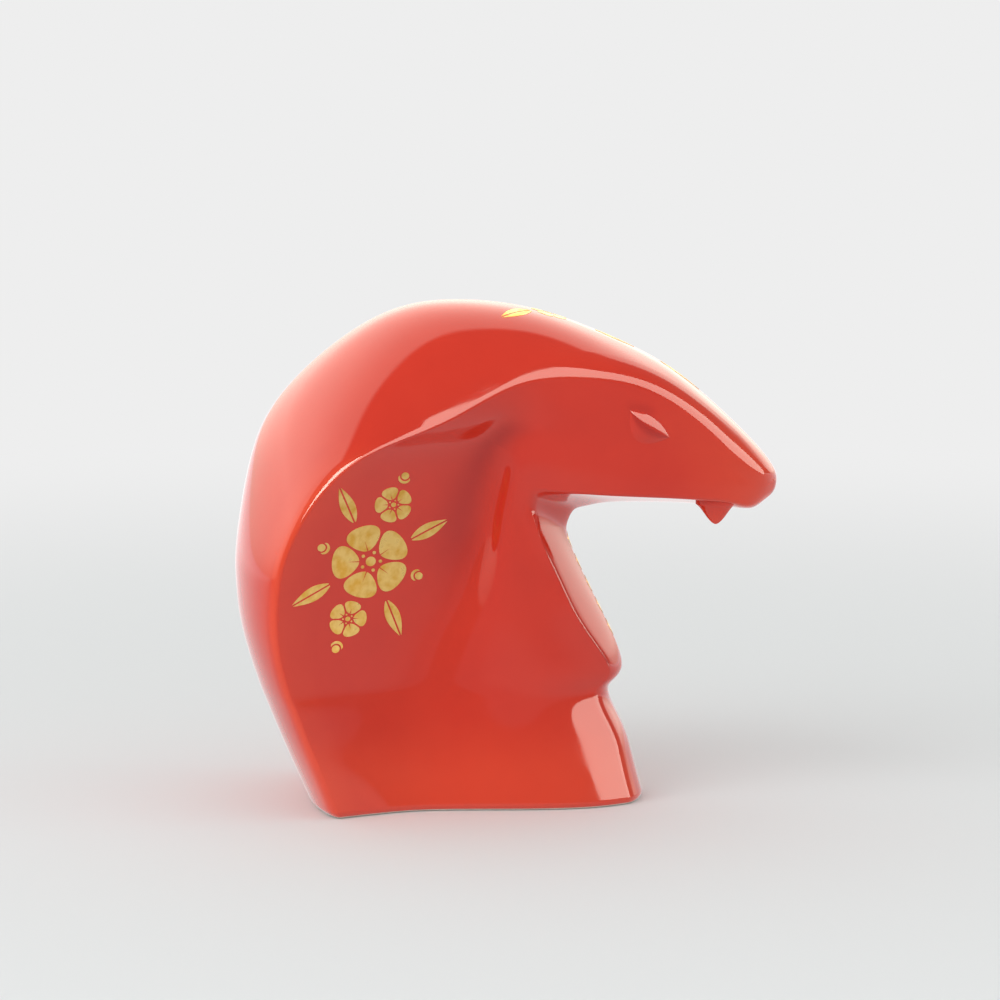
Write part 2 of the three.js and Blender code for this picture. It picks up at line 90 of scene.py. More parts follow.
# The edge of the belly, which runs on as the lip
EDGE = [(24.6, 9.7, 0), (22.4, 8.9, 8), (20.2, 8.4, 15), (17.4, 8, 22.2), (20.6, 7, 26.6),
        (15.4, 10.8, 36), (10.8, 12, 45), (7.2, 12.8, 53), (5.2, 13.4, 59.5), (5.8, 14, 62.7),
        (8.9, 14.6, 63.3), (13.8, 15, 63.3), (19.1, 15.2, 63), (26.4, 14.8, 62.6), (34.1, 13.5, 62.1),
        (41.9, 11.5, 61.3), (47.5, 8.8, 60.5), (50.2, 5.9, 60.5), (52.2, 3.6, 61.4)]
FRONT = [(27.7, 0), (25.5, 8), (23.3, 15), (20.5, 22.2), (23.2, 26.6), (20, 36), (15.6, 45), (12.4, 52.6),
         (12.3, 55.9), (13.5, 58.1), (15.7, 58.9), (18.7, 59.5), (22.7, 59.8), (28.7, 59.8), (35.7, 59.6),
         (42.7, 59), (47.8, 58.7), (50.1, 59.2), (52, 60.9)]
# Dish of the face between rim and valley, as a share of its span
DISH = [0.06] * 10 + [0.05, 0.03, 0] + [-0.02] * 6
SNOUT_TIP = np.array((53.95, 0, 64.5)) * MM

# Places along the form, counted in sections from the foot
LAST_SECTION = len(SPINE) - 1
BELLY_FROM, BELLY_TO = 4.0, 8.0
NECK_SEAM = 10.0
HOLLOW_END, HOLLOW_TIP = 13.6, 14.2
# Where the hollow's walls start, away from the seam
SEAM_CLEARANCE = 0.1

# Stretches over which something comes or goes, counted in the same way. A pair holds where it comes and
# goes: the crease between flank and belly, the lip between cheek and jaw, the groove round the belly, the
# edge that is rounded off above it and the painted shade in the fold.
CREASE_TURNS_LIP, LIP_GOES = (8.7, 9.9), (15.0, 16.4)
GROOVE_END = 7.3
CREASE = ((3.5, 4.3), CREASE_TURNS_LIP)
LIP = (CREASE_TURNS_LIP, LIP_GOES)
GROOVE = ((4.1, 4.25), (6.4, GROOVE_END))
SOFT_EDGE = ((GROOVE_END, 8.3), LIP_GOES)
FOLD_SHADE = ((5.0, 7.5), (10.4, 11.4))
THROAT_GOES = (9.4, 11.0)
RIM_TIGHTENS = (8.2, 9.4)
BROW_SOFTENS = (10.8, 13.0)
RIM_GLAZE_EVENS = (8.4, 9.4)
# Stretch over which painted light, drawn as thin glaze, comes in towards the snout
SNOUT_LIGHT_GROWS = (13.5, 16.0)
# Heights over which the painted light on the lower body, drawn as thin glaze, fades out upwards
FOOT_LIGHT_FADES = np.array((6, 20)) * MM

# Knots of the flank: the fold between hood and neck, and the edge of the belly or the lip
FOLD_KNOT, FOLD_WIDTH = 2.1, 0.4
EDGE_KNOT = 5.0

# Shares that shape the arcs of a section, as in the solids
ELLIPSE_PULL = 0.55
CREST_PULL = 0.35
CREST_FLARE = 0.92
# Shares of a wall by which the rim and the edge of its inner face move forward and aside
RIM_INSET = (0.15, 1.15)
EDGE_INSET = (0.5, 0.85)

# The rim's rounding: pull of its handles, how much further it reaches over the dome than over the face
# under it, and the largest shares of the dome and of that face that it takes
RIM_PULL = 0.63
RIM_LEAN = 1.6
LONGEST_ROUND = 0.6
WIDEST_ROUND = 0.5
# Reach of the rounding on the inner faces of the walls
INNER_REACH = 0.5 * MM

# The belly's arc: turn of its plate away from the flank at the crease, least slope of its handle and the
# largest share of the half width that the handle crosses
PLATE_TURN = math.radians(58)
LEAST_DESCENT = 0.25
LONGEST_CROSSING = 0.8

# Reach of the rounding on each side of the lip's edge, and of the throat's
LIP_ROUND = 0.7 * MM
THROAT_ROUND = 2 * MM

# Small steps that give a curve's direction, in its parameter and in sections, and counts of samples
PROBE = 1e-3
PLACE_STEP = 2e-3
CURVE_SAMPLES = 81
FOOT_SAMPLES = 400

# Depth of the glaze, where -1 is thin, 0 is even and 1 is pooled. Thin also paints light, pooled paints
# shade.
# Thin glaze at the foot's edge, and painted light on the lower body, both in the thin tone
FOOT_THIN_AND_LIT_LEVEL = -0.6
# Painted light on the snout, drawn as thin glaze
SNOUT_LIGHT_LEVEL = -0.6
FANG_LEVEL = -0.5
BESIDE_RIM_LEVEL = -0.35
# Painted shade in the dimple behind a brow and painted light on the fold before it
BROW_SHADE_AND_LIGHT_LEVEL = 0.3
# Painted shade in the fold between hood and neck, drawn as pooled glaze
FOLD_SHADE_LEVEL = 0.6
# Painted shade on the eye bead's lower side, drawn as pooled glaze
EYE_SHADE_LEVEL = 0.6

# Edges of small pieces that turn more than this stay sharp
SHARP_ANGLE = math.radians(40)

# Point that the camera and the lamps face
VIEW_TARGET = Vector((-1.3, 0.0, 60.1)) * MM

# Softboxes: name, azimuth, elevation, distance, size in metres and radiance, where lit white paper has 1.
# The lamps light the figurine and don't show in its glaze.
SIDE_PLACE = (53, 32.3, 0.769, (1.39, 0.7))
LAMPS = [("key_lamp", -45, 38, 1.3, (0.9, 0.9), 2.5), ("side_lamp", *SIDE_PLACE, 0.26)]
# The panels only show in the glaze. They stand upright, and their last number is a roll in degrees.
PANELS = [("side_panel", *SIDE_PLACE, 5.2, -12), ("front_strip", -4, 27, 0.75, (0.2, 0.34), 14, 0)]


def linear(hex_colour):
    """An sRGB hex colour as linear red, green, blue and alpha."""
    parts = [int(hex_colour[i:i + 2], 16) / 255 for i in (1, 3, 5)]
    return tuple(c / 12.92 if c <= 0.04045 else ((c + 0.055) / 1.055) ** 2.4 for c in parts) + (1.0,)


def length(name, description, millimetres):
    """A size in the sidebar, written here in millimetres."""
    return FloatProperty(name=name, description=description, default=millimetres * MM, unit="LENGTH",
                         precision=5)


def angle(name, description, degrees):
    """An angle in the sidebar, written here in degrees."""
    return FloatProperty(name=name, description=description, default=math.radians(degrees), subtype="ANGLE")


def colour(name, description, hex_colour):
    """A colour in the sidebar, written here as sRGB hex."""
    return FloatVectorProperty(name=name, description=description, default=linear(hex_colour), size=4,
                               subtype="COLOR", min=0, max=1)


def brightness(name, description, level):
    """A brightness or a share of one in the sidebar."""
    return FloatProperty(name=name, description=description, default=level, subtype="FACTOR", min=0,
                         soft_max=5)


class PorcelainSettings(PropertyGroup):
    """Sizes of the castings and of what is set on them."""

    wall: length("Wall", "Thickness of the hollow castings", 4)
    rim_round: length("Rim rounding", "Reach of the rounded rim on each side of the hood's edge", 1.7)
    crest_round: length("Crest rounding", "Reach of the tight rim where the hood runs into the head", 0.7)
    brow_round: length("Brow rounding", "Reach of the softer rim on each side of the head's edge", 3.0)
    foot_round: length("Foot rounding", "Radius under the foot, where it meets the table", 1.6)
    foot_ring: length("Foot ring", "Width of the bare ring round the base plate", 2.0)
    plate_thickness: length("Base plate thickness", "Thickness of the closing plate under the foot", 3.5)
    plate_round: length("Base plate rounding", "Radius of the base plate's edges", 0.4)
    vent: length("Vent", "Diameter of the vent in the base plate", 8.0)
    slip_gap: length("Slip gap", "Gap between pieces joined with slip", 0.3)
    belly_thickness: length("Belly thickness", "Thickness of the inlaid belly panel", 1.8)
    groove_round: length("Groove rounding", "Radius of the belly panel's lip along the groove", 0.8)
    groove_lip: length("Groove lip", "Radius of the flank's lip along the groove", 0.3)
    groove_gap: length("Groove gap", "Gap at the bottom of the groove round the belly panel", 0.3)
    eye_length: length("Eye length", "Length of an eye bead", 9.6)
    eye_height: length("Eye height", "Height of an eye bead", 5.5)
    eye_arch: length("Eye arch", "Height of an eye's upper edge above its corners", 1.35)
    eye_depth: length("Eye depth", "How deep an eye bead goes into the cheek", 2.0)
    eye_tilt: angle("Eye tilt", "How far an eye points down to the snout", 35)
    eye_swell: length("Eye swell", "How far an eye bead stands up from the cheek", 0.85)
    brow_height: length("Brow height", "Height of the fold above an eye and of the dimple behind it", 0.06)
    fang_height: length("Fang height", "Height of a fang below the lip", 4.1)
    fang_blunt: length("Fang bluntness", "How much shorter the glazed fang is than its solid", 0.8)


class FinishSettings(PropertyGroup):
    """Colours of the glaze, the bare clay and the gold."""

    glaze: colour("Glaze", "Red glaze where it lies evenly", "#D1311E")
    # The thin tone also paints light on the lower body, snout and brow fold; the pooled tone paints shade
    # in the fold, dimple and eye
    glaze_thin_and_lit: colour("Thin glaze", "Red glaze where it thins over an edge", "#E5482B")
    glaze_pooled_and_shaded: colour("Pooled glaze", "Red glaze where it gathers in a groove", "#A61A14")
    clay: colour("Clay", "Bare fired clay under the foot", "#E6DCCF")
    gold: colour("Gold", "Fired gold", "#E4C074")
    gold_worn: colour("Worn gold", "Fired gold where the transfer left it thin", "#CA9C46")


class GoldSettings(PropertyGroup):
    """Sizes of the gold motifs."""

    film: length("Film", "Thickness of the gold", 0.05)
    blossom: length("Blossom", "Radius of the large blossoms", 7.4)
    small_blossom: length("Small blossom", "Radius of the small blossoms", 3.6)
    bud: length("Bud", "Radius of a bud", 1.2)
    leaf: length("Leaf", "Length of a leaf", 8.5)
    leaf_width: length("Leaf width", "Width of a leaf", 2.8)
    lozenge: length("Lozenge", "Length of a lozenge on the belly", 3.4)
    lozenge_width: length("Lozenge width", "Width of a lozenge on the belly", 1.8)
    vein: length("Vein", "Gap between petals and down the middle of a leaf", 0.34)


class StudioSettings(PropertyGroup):
    """The camera, the paper and the brightness of the room."""

    distance: length("Distance", "Camera to the figurine", 800)
    view_width: length("View width", "Width of the view at the figurine", 200)
    elevation: angle("Elevation", "How far the camera looks down", 7.5)
    # A faint cyan tint offsets the red light that the glaze bounces onto the nearby paper
    floor: colour("Floor", "Paper floor", "#DADDDD")
    backdrop: colour("Backdrop", "Paper far behind the figurine", "#EEEEEE")
    scrim: brightness("Scrim", "Brightness of the scrim, where white paper has 1", 1.0)
    sheen: brightness("Sheen", "How much brighter the scrim is in reflections", 3.5)
    tint: colour("Tint", "Colour of the panels and the scrim in reflections", "#FFF8EA")
    room: brightness("Room", "Brightness of the dim half of the room", 0.66)
    gloom: brightness("Gloom", "How bright the dim half is in reflections, as a share", 0.6)


# Curves of the form

def norm(vectors):
    """Lengths of vectors that run along the last axis."""
    return np.linalg.norm(vectors, axis=-1, keepdims=True)


def unit(vectors):
    """Directions of vectors that run along the last axis."""
    return vectors / np.maximum(norm(vectors), TINY)


def rise(span, values):
    """0 up to a span's start, 1 from its end on and an even S between them."""
    start, end = span
    t = np.clip((values - start) / (end - start), 0, 1)
    return t * t * (3 - 2 * t)


def fall(span, values):
    """1 up to a span's start, 0 from its end on and an even S between them."""
    return rise(span[::-1], values)


def within(stretches, values):
    """1 between the stretch where something comes and the one where it goes, 0 outside both."""
    comes, goes = stretches
    return rise(comes, values) * fall(goes, values)


def spaced(*stops):
    """Joined stretches of evenly spaced values: a start, then pairs of a stop and a count of steps."""
    values = [stops[0]]
    for stop, count in zip(stops[1::2], stops[2::2]):
        values += list(np.linspace(values[-1], stop, count + 1)[1:])
    return np.array(values, float)


def spline_moments(points):
    """Second derivatives of the natural cubic spline through points, which run along the first axis."""
    count = len(points)
    matrix = np.eye(count)
    right = np.zeros_like(points)
    for i in range(1, count - 1):
        matrix[i, i - 1:i + 2] = 1, 4, 1
        right[i] = 6 * (points[i - 1] - 2 * points[i] + points[i + 1])
    return np.linalg.solve(matrix, right.reshape(count, -1)).reshape(points.shape)


def spline(points, moments, t):
    """Natural splines at knots t: one spline, or one for each row of t."""
    i = np.clip(np.floor(t).astype(int), 0, len(points) - 2)
    f = (t - i)[..., None]
    g = 1 - f
    rows = () if points.ndim == 2 else (np.arange(points.shape[1])[:, None],)
    here, there = points[(i, *rows)], points[(i + 1, *rows)]
    bend, next_bend = moments[(i, *rows)], moments[(i + 1, *rows)]
    return here * g + there * f + (bend * (g ** 3 - g) + next_bend * (f ** 3 - f)) / 6


def bezier(p0, p1, p2, p3, t):
    """Cubic curves, one for each row of the points, at parameters t."""
    p0, p1, p2, p3 = (p[:, None] for p in (p0, p1, p2, p3))
    t = np.asarray(t)[..., None]
    s = 1 - t
    return p0 * s ** 3 + 3 * p1 * s * s * t + 3 * p2 * s * t * t + p3 * t ** 3


def full_sections():
    """Eight points of each half section, in metres."""
    spine, front = (np.array([(x, 0, z) for x, z in curve]) for curve in (SPINE, FRONT))
    rim, valley, neck, shoulder, edge = (np.array(curve) for curve in (RIM, VALLEY, NECK, SHOULDER, EDGE))
    face = (rim + valley) / 2 - ASIDE * np.array(DISH)[:, None] * norm(rim - valley)
    return np.stack([spine, rim, face, valley, neck, shoulder, edge, front], axis=1) * MM


GUIDES = full_sections().reshape(len(SPINE), -1)
GUIDE_MOMENTS = spline_moments(GUIDES)


def guide_points(u, depth=0.0):
    """The eight points of half sections at places u, drawn in by a depth under the surface."""
    points = spline(GUIDES, GUIDE_MOMENTS, u).reshape(len(u), -1, 3).transpose(1, 0, 2).copy()
    spine, rim, *knots, edge, front = points
    forward = unit(front - spine)
    spine += forward * depth
    rim += (RIM_INSET[0] * forward - RIM_INSET[1] * ASIDE) * depth
    for knot in knots:
        knot -= ASIDE * depth
    edge -= (EDGE_INSET[0] * forward + EDGE_INSET[1] * ASIDE) * depth
    front -= forward * depth
    return points


def front_handles(u, edge, front, heading):
    """Handles of the arc from the edge to the front, which goes on from the flank or turns at a crease."""
    drop = (front - edge) * (1 - ASIDE)
    down = unit(drop)
    plate = down * math.cos(PLATE_TURN) - ASIDE * math.sin(PLATE_TURN)
    heading = unit(heading)
    heading = unit(heading + (plate - heading) * within(CREASE, u)[:, None]
                   + (unit(front - edge) - heading) * within(LIP, u)[:, None])
    descent = np.maximum((heading * down).sum(axis=-1, keepdims=True), LEAST_DESCENT)
    inward = np.maximum(-heading[:, 1:2], TINY)
    reach = np.minimum(norm(drop) / descent, LONGEST_CROSSING * edge[:, 1:2] / inward)
    meeting = edge[:, 1:2] - inward * reach
    return edge + heading * reach * ELLIPSE_PULL, front + ASIDE * meeting * ELLIPSE_PULL


def stop_before_end(curve, reach):
    """Parameters of cubic curves, one in each row, at a distance before their ends."""
    t = np.linspace(0, 1, CURVE_SAMPLES)
    points = bezier(*curve, np.tile(t, (len(reach), 1)))[:, ::-1]
    back = np.cumsum(norm(np.diff(points, axis=1))[..., 0], axis=1)
    stops = [np.interp(min(distance, LONGEST_ROUND * row[-1]), np.append(0, row), 1 - t)
             for distance, row in zip(np.ravel(reach), back)]
    return np.array(stops)[:, None]


def side_curve(u, knots, front):
    """A side's curve from the rim to the front, and its speeds just before and after the edge."""
    edge = knots[-1]
    moments = spline_moments(knots)
    heading = edge - knots[-2] + moments[-2] / 6
    out_handle, in_handle = front_handles(u, edge, front, heading)

    def curve(t):
        flank = spline(knots, moments, np.minimum(t, EDGE_KNOT))
        fore = bezier(edge, out_handle, in_handle, front, np.maximum(t - EDGE_KNOT, 0))
        return np.where(t[..., None] <= EDGE_KNOT, flank, fore)

    return curve, np.concatenate([norm(heading), 3 * norm(out_handle - edge)], axis=1)


def edge_belt(u, edge, curve, speeds, offsets):
    """Points at offsets from the edge, rounded at throat and lip, and their knots on the curve."""
    zone = EDGE_KNOT + offsets / np.where(offsets < 0, speeds[:, :1], speeds[:, 1:])
    turn_in = LIP_ROUND + (THROAT_ROUND - LIP_ROUND) * fall(THROAT_GOES, u)[:, None]
    ends = curve(EDGE_KNOT + turn_in * np.array((-1, 1)) / speeds)
    s = np.clip(offsets / turn_in / 2 + 0.5, 0, 1)[..., None]
    soft = ends[:, :1] * (1 - s) ** 2 + 2 * edge[:, None] * s * (1 - s) + ends[:, 1:] * s ** 2
    near = (np.abs(offsets) <= turn_in) * within(SOFT_EDGE, u)[:, None]
    belt = curve(zone)
    return belt + (soft - belt) * near[..., None], zone


def half_form(u, layout, rounding, depth=0.0):
    """Points of the right half of the form: rows along u, columns from the spine to the front.

    The layout gives shares of the dome, of the rim's rounding and of the flank up to the edge's zone,
    offsets in metres from the edge, and shares of the front.
    """
    points = guide_points(u, depth)
    spine, crest, _, valley, *_, edge, front = points
    leave = spine.copy()
    leave[:, 1] = crest[:, 1] * ELLIPSE_PULL
    arrive = crest + (spine - crest) * CREST_PULL
    arrive[:, 1] = crest[:, 1] * CREST_FLARE
    arch = spine, leave, arrive, crest
    curve, speeds = side_curve(u, points[1:-1], front)
    reach = np.minimum(rounding, WIDEST_ROUND * norm(crest - valley))
    ones = np.ones((len(u), 1))

    dome_end = stop_before_end(arch, reach * RIM_LEAN)
    dome = bezier(*arch, dome_end * layout["dome"])
    before = bezier(*arch, dome_end - PROBE)[:, 0]
    belt, zone = edge_belt(u, edge, curve, speeds, layout["edge"])
    start = reach / RIM_LEAN * PROBE / norm(curve(ones * PROBE)[:, 0] - crest)
    side = curve(start + (zone[:, :1] - start) * layout["flank"])
    after = curve(start + PROBE)[:, 0]
    fore = curve(zone[:, -1:] + (EDGE_KNOT + 1 - zone[:, -1:]) * layout["front"])

    first, last = dome[:, -1], side[:, 0]
    rim = bezier(first, first + unit(first - before) * norm(crest - first) * RIM_PULL,
                 last - unit(after - last) * norm(crest - last) * RIM_PULL, last, ones * layout["rim"])
    half = np.concatenate([dome, rim[:, 1:-1], side[:, :-1], belt, fore[:, 1:]], axis=1)
    return half * MIRROR


def whole_rings(half):
    """Closed rings from half ones: down the right side and up the left."""
    return np.concatenate([half, half[:, -2:0:-1] * MIRROR], axis=1)


def both_sides(values):
    """Values for the columns of a whole ring, from those of a half ring."""
    return np.concatenate([values, values[-2:0:-1]])


def rim_reach(settings, u):
    """Reach of the rim's rounding at places u: even on the hood, tight on the crest, softer on the head."""
    crest, brow = (rise(span, u)[:, None] for span in (RIM_TIGHTENS, BROW_SOFTENS))
    hood = settings.rim_round * (1 - crest) + settings.crest_round * crest
    return hood * (1 - brow) + settings.brow_round * brow


def outer_rings(u, layout, settings):
    """Whole rings of the form's outer face at places u."""
    return whole_rings(half_form(u, layout, rim_reach(settings, u)))


def inner_rings(u, layout, wall):
    """Whole rings of the form at places u, a wall's thickness under its outer face."""
    return whole_rings(half_form(u, layout, INNER_REACH, wall))


def form_rings(u, layout, settings):
    """Whole rings of the form at places u, with the surface's outward normals."""
    here, ahead, behind = (outer_rings(places, layout, settings) for places in (
        u, np.minimum(u + PLACE_STEP, LAST_SECTION), np.maximum(u - PLACE_STEP, 0)))
    across = np.roll(here, -1, axis=1) - np.roll(here, 1, axis=1)
    return here, unit(np.cross(across, ahead - behind))


def core_point(u):
    """The point halfway between the spine and the front at a place."""
    points = guide_points(np.array([u]))[:, 0]
    return (points[0] + points[-1]) / 2


def place_at_height(height):
    """The place along the upright part of the form that lies at a height."""
    u = np.linspace(0, BELLY_FROM, FOOT_SAMPLES)
    return np.interp(height, guide_points(u)[0][:, 2], u)


# Meshes

def ring_faces(rows, size, loop=False):
    """Faces between rings of one size, laid in a row. A loop joins the last ring to the first."""
    i = np.arange(rows if loop else rows - 1)[:, None]
    j = np.arange(size)[None, :]
    k = (j + 1) % size
    n = (i + 1) % rows
    quads = np.stack([i * size + j, i * size + k, n * size + k, n * size + j], axis=-1)
    return quads.reshape(-1, 4).tolist()


def looped_rings(rings):
    """Points and faces of rings that run round a hollow and meet again."""
    rows, size = rings.shape[:2]
    return rings.reshape(-1, 3), ring_faces(rows, size, loop=True)


def tipped_rings(first_tip, rings, last_tip):
    """Points and faces of rings that are closed by a point at each end."""
    rows, size = rings.shape[:2]
    points = np.concatenate([rings.reshape(-1, 3), [first_tip, last_tip]])
    faces = ring_faces(rows, size)
    first, last = rows * size, rows * size + 1
    for j in range(size):
        k = (j + 1) % size
        faces.append((first, k, j))
        faces.append(((rows - 1) * size + j, (rows - 1) * size + k, last))
    return points, faces


def slab(outer, inner):
    """Points and faces of a curved slab between two grids of one size."""
    rows = np.concatenate([outer, inner[:, ::-1]], axis=1)
    count, size = rows.shape[:2]
    faces = ring_faces(count, size)
    last = (count - 1) * size
    for j in range(size // 2 - 1):
        loop = (j, j + 1, size - 2 - j, size - 1 - j)
        faces.append(loop[::-1])
        faces.append(tuple(last + index for index in loop))
    return rows.reshape(-1, 3), faces


def link_object(name, data):
    """A new object in the scene."""
    obj = bpy.data.objects.new(name, data)
    bpy.context.scene.collection.objects.link(obj)
    return obj


def new_piece(name, shape, material, node):
    """A closed mesh of points and faces that rides on the figurine's body and stands for a node."""
    points, faces = shape
    mesh = bpy.data.meshes.new(name)
    mesh.from_pydata([tuple(p) for p in points], [], faces)
    mesh.update()
    mesh.polygons.foreach_set("use_smooth", [True] * len(mesh.polygons))
    mesh.materials.append(material)
    piece = link_object(name, mesh)
    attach(piece, BODY)
    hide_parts(node)
    return piece


def add_attribute(piece, name, values):
    """A number for each point of a piece, which its material reads."""
    attribute = piece.data.attributes.new(name, "FLOAT", "POINT")
    attribute.data.foreach_set("value", np.ravel(values).astype(float))


def set_normals(piece, start, normals, share):
    """Draws the normals of a run of points to given ones, so that the glaze runs on over a joint."""
    mesh = piece.data
    all_normals = np.zeros(len(mesh.vertices) * 3)
    mesh.vertex_normals.foreach_get("vector", all_normals)
    all_normals = all_normals.reshape(-1, 3)
    run = slice(start, start + normals.size // 3)
    own = all_normals[run]
    all_normals[run] = unit(own + (normals.reshape(-1, 3) - own) * share.reshape(-1, 1))
    mesh.normals_split_custom_set_from_vertices(all_normals.tolist())


def node_middle(name):
    """Mean point of a node of the frame."""
    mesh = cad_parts[name].data
    points = np.zeros(len(mesh.vertices) * 3)
    mesh.vertices.foreach_get("co", points)
    return points.reshape(-1, 3).mean(axis=0)


def surface_of(name):
    """A tree of the faces of a piece that is already made, for rays."""
    mesh = bpy.data.objects[name].data
    return BVHTree.FromPolygons([v.co for v in mesh.vertices], [p.vertices for p in mesh.polygons])


# Materials

# Sockets that take in most of a noise's values
NOISE_BAND = {"From Min": 0.3, "From Max": 0.7}
# Sizes of the clouds and ripples in the glaze, of the wear on the gold and of the grit in the clay. Sanded
# clay has finer grit, which is drawn as coarse as it needs to show.
GLAZE_CLOUD, GLAZE_RIPPLE = 14 * MM, 5 * MM
GOLD_WEAR = 2.4 * MM
CLAY_GRIT = 0.5 * MM
# Heights of the ripples and of the grit
RIPPLE_HEIGHT, GRIT_HEIGHT = 0.05 * MM, 0.08 * MM


def set_sockets(tree, node, values):
    """Sets a node's inputs to values or links them to other sockets."""
    for socket, value in values.items():
        if isinstance(value, bpy.types.NodeSocket):
            tree.links.new(value, node.inputs[socket])
        else:
            node.inputs[socket].default_value = value


def add_node(tree, kind, links=None, **settings):
    """A node with its settings, and its sockets set to values or linked to other sockets."""
    node = tree.nodes.new(kind)
    for name, value in settings.items():
        setattr(node, name, value)
    set_sockets(tree, node, links or {})
    return node


def new_material(name):
    """An empty material with its shader and output."""
    material = bpy.data.materials.get(name) or bpy.data.materials.new(name)
    material.use_nodes = True
    tree = material.node_tree
    tree.nodes.clear()
    shader = add_node(tree, "ShaderNodeBsdfPrincipled")
    add_node(tree, "ShaderNodeOutputMaterial", {"Surface": shader.outputs["BSDF"]})
    return material, tree, shader


def red_enamel_glaze(finish):
    """Red overglaze enamel, a glassy coat: lighter where it thins on edges and on painted light, darker
    where it pools and on painted shade.
    """
    material, tree, shader = new_material("red_enamel_glaze")
    depth, bare = (add_node(tree, "ShaderNodeAttribute", attribute_name=name).outputs["Fac"]
                   for name in ("glaze_depth_and_light", "bare"))
    place = add_node(tree, "ShaderNodeTexCoord").outputs["Object"]
    clouds, ripple = (add_node(tree, "ShaderNodeTexNoise", {
        "Vector": place, "Scale": 1 / size, "Detail": detail}).outputs["Fac"]
        for size, detail in ((GLAZE_CLOUD, 3.0), (GLAZE_RIPPLE, 1.0)))
    drift = add_node(tree, "ShaderNodeMapRange", {
        "Value": clouds, **NOISE_BAND, "To Min": -0.08, "To Max": 0.08})
    level = add_node(tree, "ShaderNodeMath", {0: depth, 1: drift.outputs["Result"]}, operation="ADD")
    share = add_node(tree, "ShaderNodeMapRange", {"Value": level.outputs[0], "From Min": -1.0})
    tones = add_node(tree, "ShaderNodeValToRGB", {"Fac": share.outputs["Result"]})
    tones.color_ramp.elements[0].color = finish.glaze_thin_and_lit
    tones.color_ramp.elements[1].color = finish.glaze_pooled_and_shaded
    tones.color_ramp.elements.new(0.5).color = finish.glaze
    skin = add_node(tree, "ShaderNodeMix", {
        "Factor": bare, "A": tones.outputs["Color"], "B": finish.clay}, data_type="RGBA")
    gloss = add_node(tree, "ShaderNodeMapRange", {
        "Value": ripple, **NOISE_BAND, "To Min": 0.045, "To Max": 0.08})
    matte = add_node(tree, "ShaderNodeMath", {0: gloss.outputs["Result"], 1: bare}, operation="MAXIMUM")
    bump = add_node(tree, "ShaderNodeBump", {
        "Height": ripple, "Strength": 0.05, "Distance": RIPPLE_HEIGHT})
    set_sockets(tree, shader, {
        "Base Color": skin.outputs["Result"],
        "Roughness": matte.outputs[0],
        "Normal": bump.outputs["Normal"],
        "IOR": 1.55,
    })
    return material


def fired_gold(finish):
    """Burnished gold fired on the glaze: a thin metal film, a little uneven from the transfer."""
    material, tree, shader = new_material("fired_gold")
    place = add_node(tree, "ShaderNodeTexCoord").outputs["Object"]
    clouds = add_node(tree, "ShaderNodeTexNoise", {
        "Vector": place, "Scale": 1 / GOLD_WEAR, "Detail": 4.0}).outputs["Fac"]
    wear = add_node(tree, "ShaderNodeMapRange", {"Value": clouds, "From Min": 0.42, "From Max": 0.68})
    tone = add_node(tree, "ShaderNodeMix", {
        "Factor": wear.outputs["Result"], "A": finish.gold, "B": finish.gold_worn}, data_type="RGBA")
    gloss = add_node(tree, "ShaderNodeMapRange", {
        "Value": clouds, **NOISE_BAND, "To Min": 0.26, "To Max": 0.42})
    set_sockets(tree, shader, {
        "Base Color": tone.outputs["Result"],
        "Roughness": gloss.outputs["Result"],
        "Metallic": 1.0,
    })
    return material


def bare_clay(finish):
    """Unglazed porcelain, sanded flat after firing: chalky, with fine grit."""
    material, tree, shader = new_material("bare_clay")
    place = add_node(tree, "ShaderNodeTexCoord").outputs["Object"]
    grit = add_node(tree, "ShaderNodeTexNoise", {
        "Vector": place, "Scale": 1 / CLAY_GRIT, "Detail": 4.0}).outputs["Fac"]
    shade = add_node(tree, "ShaderNodeMapRange", {"Value": grit, **NOISE_BAND, "To Min": 0.86})
    tone = add_node(tree, "ShaderNodeMix", {
        "Factor": 1.0, "A": finish.clay, "B": shade.outputs["Result"]},
        data_type="RGBA", blend_type="MULTIPLY")
    bump = add_node(tree, "ShaderNodeBump", {"Height": grit, "Strength": 0.4, "Distance": GRIT_HEIGHT})
    set_sockets(tree, shader, {
        "Base Color": tone.outputs["Result"],
        "Normal": bump.outputs["Normal"],
        "Roughness": 0.85,
    })
    return material


# Castings

# Columns of a half ring, as half_form reads them
BODY_LAYOUT = {
    "dome": spaced(0, 1, 26),
    "rim": spaced(0, 1, 8),
    "flank": spaced(0, 1, 54),
    "edge": np.array((-2, -1.6, -1.2, -0.8, -0.65, -0.5, -0.35, -0.2, -0.1, -0.03, 0,
                      0.04, 0.4, 1, 1.5, 2)) * MM,
    "front": spaced(0, 1, 14),
}
HEAD_LAYOUT = {**BODY_LAYOUT, "flank": spaced(0, 0.05, 3, 0.62, 50, 1, 14),
               "edge": np.linspace(-1, 1, 13) * MM}
# Offsets of the belly panel's columns behind its lip, and the count of steps over its front
PANEL_REST = np.array((1, 1.5, 2)) * MM
PANEL_FRONT_STEPS = 16
# Offsets of rows and columns from the wall of the groove, as shares of the lip's radius
WALL_STEPS = np.array((-1.6, -1, -0.75, -0.5, -0.25, -0.1, 0, 0.08))
LIP_STEPS = np.array((0, 0.1, 0.25, 0.5, 0.75, 1))
# Counts of steps along the body, the panel, the hollow and the head, with the head's stops in sections
FOOT_STEPS, BELLY_STEPS, NAPE_STEPS = 40, 60, 34
PANEL_STEPS = 70
BODY_HOLLOW_STEPS, HEAD_HOLLOW_STEPS = 40, 24
HEAD_STOPS = (12.9, 36, 14.35, 48, 16, 26, LAST_SECTION, 30)
SNOUT_RINGS = 6
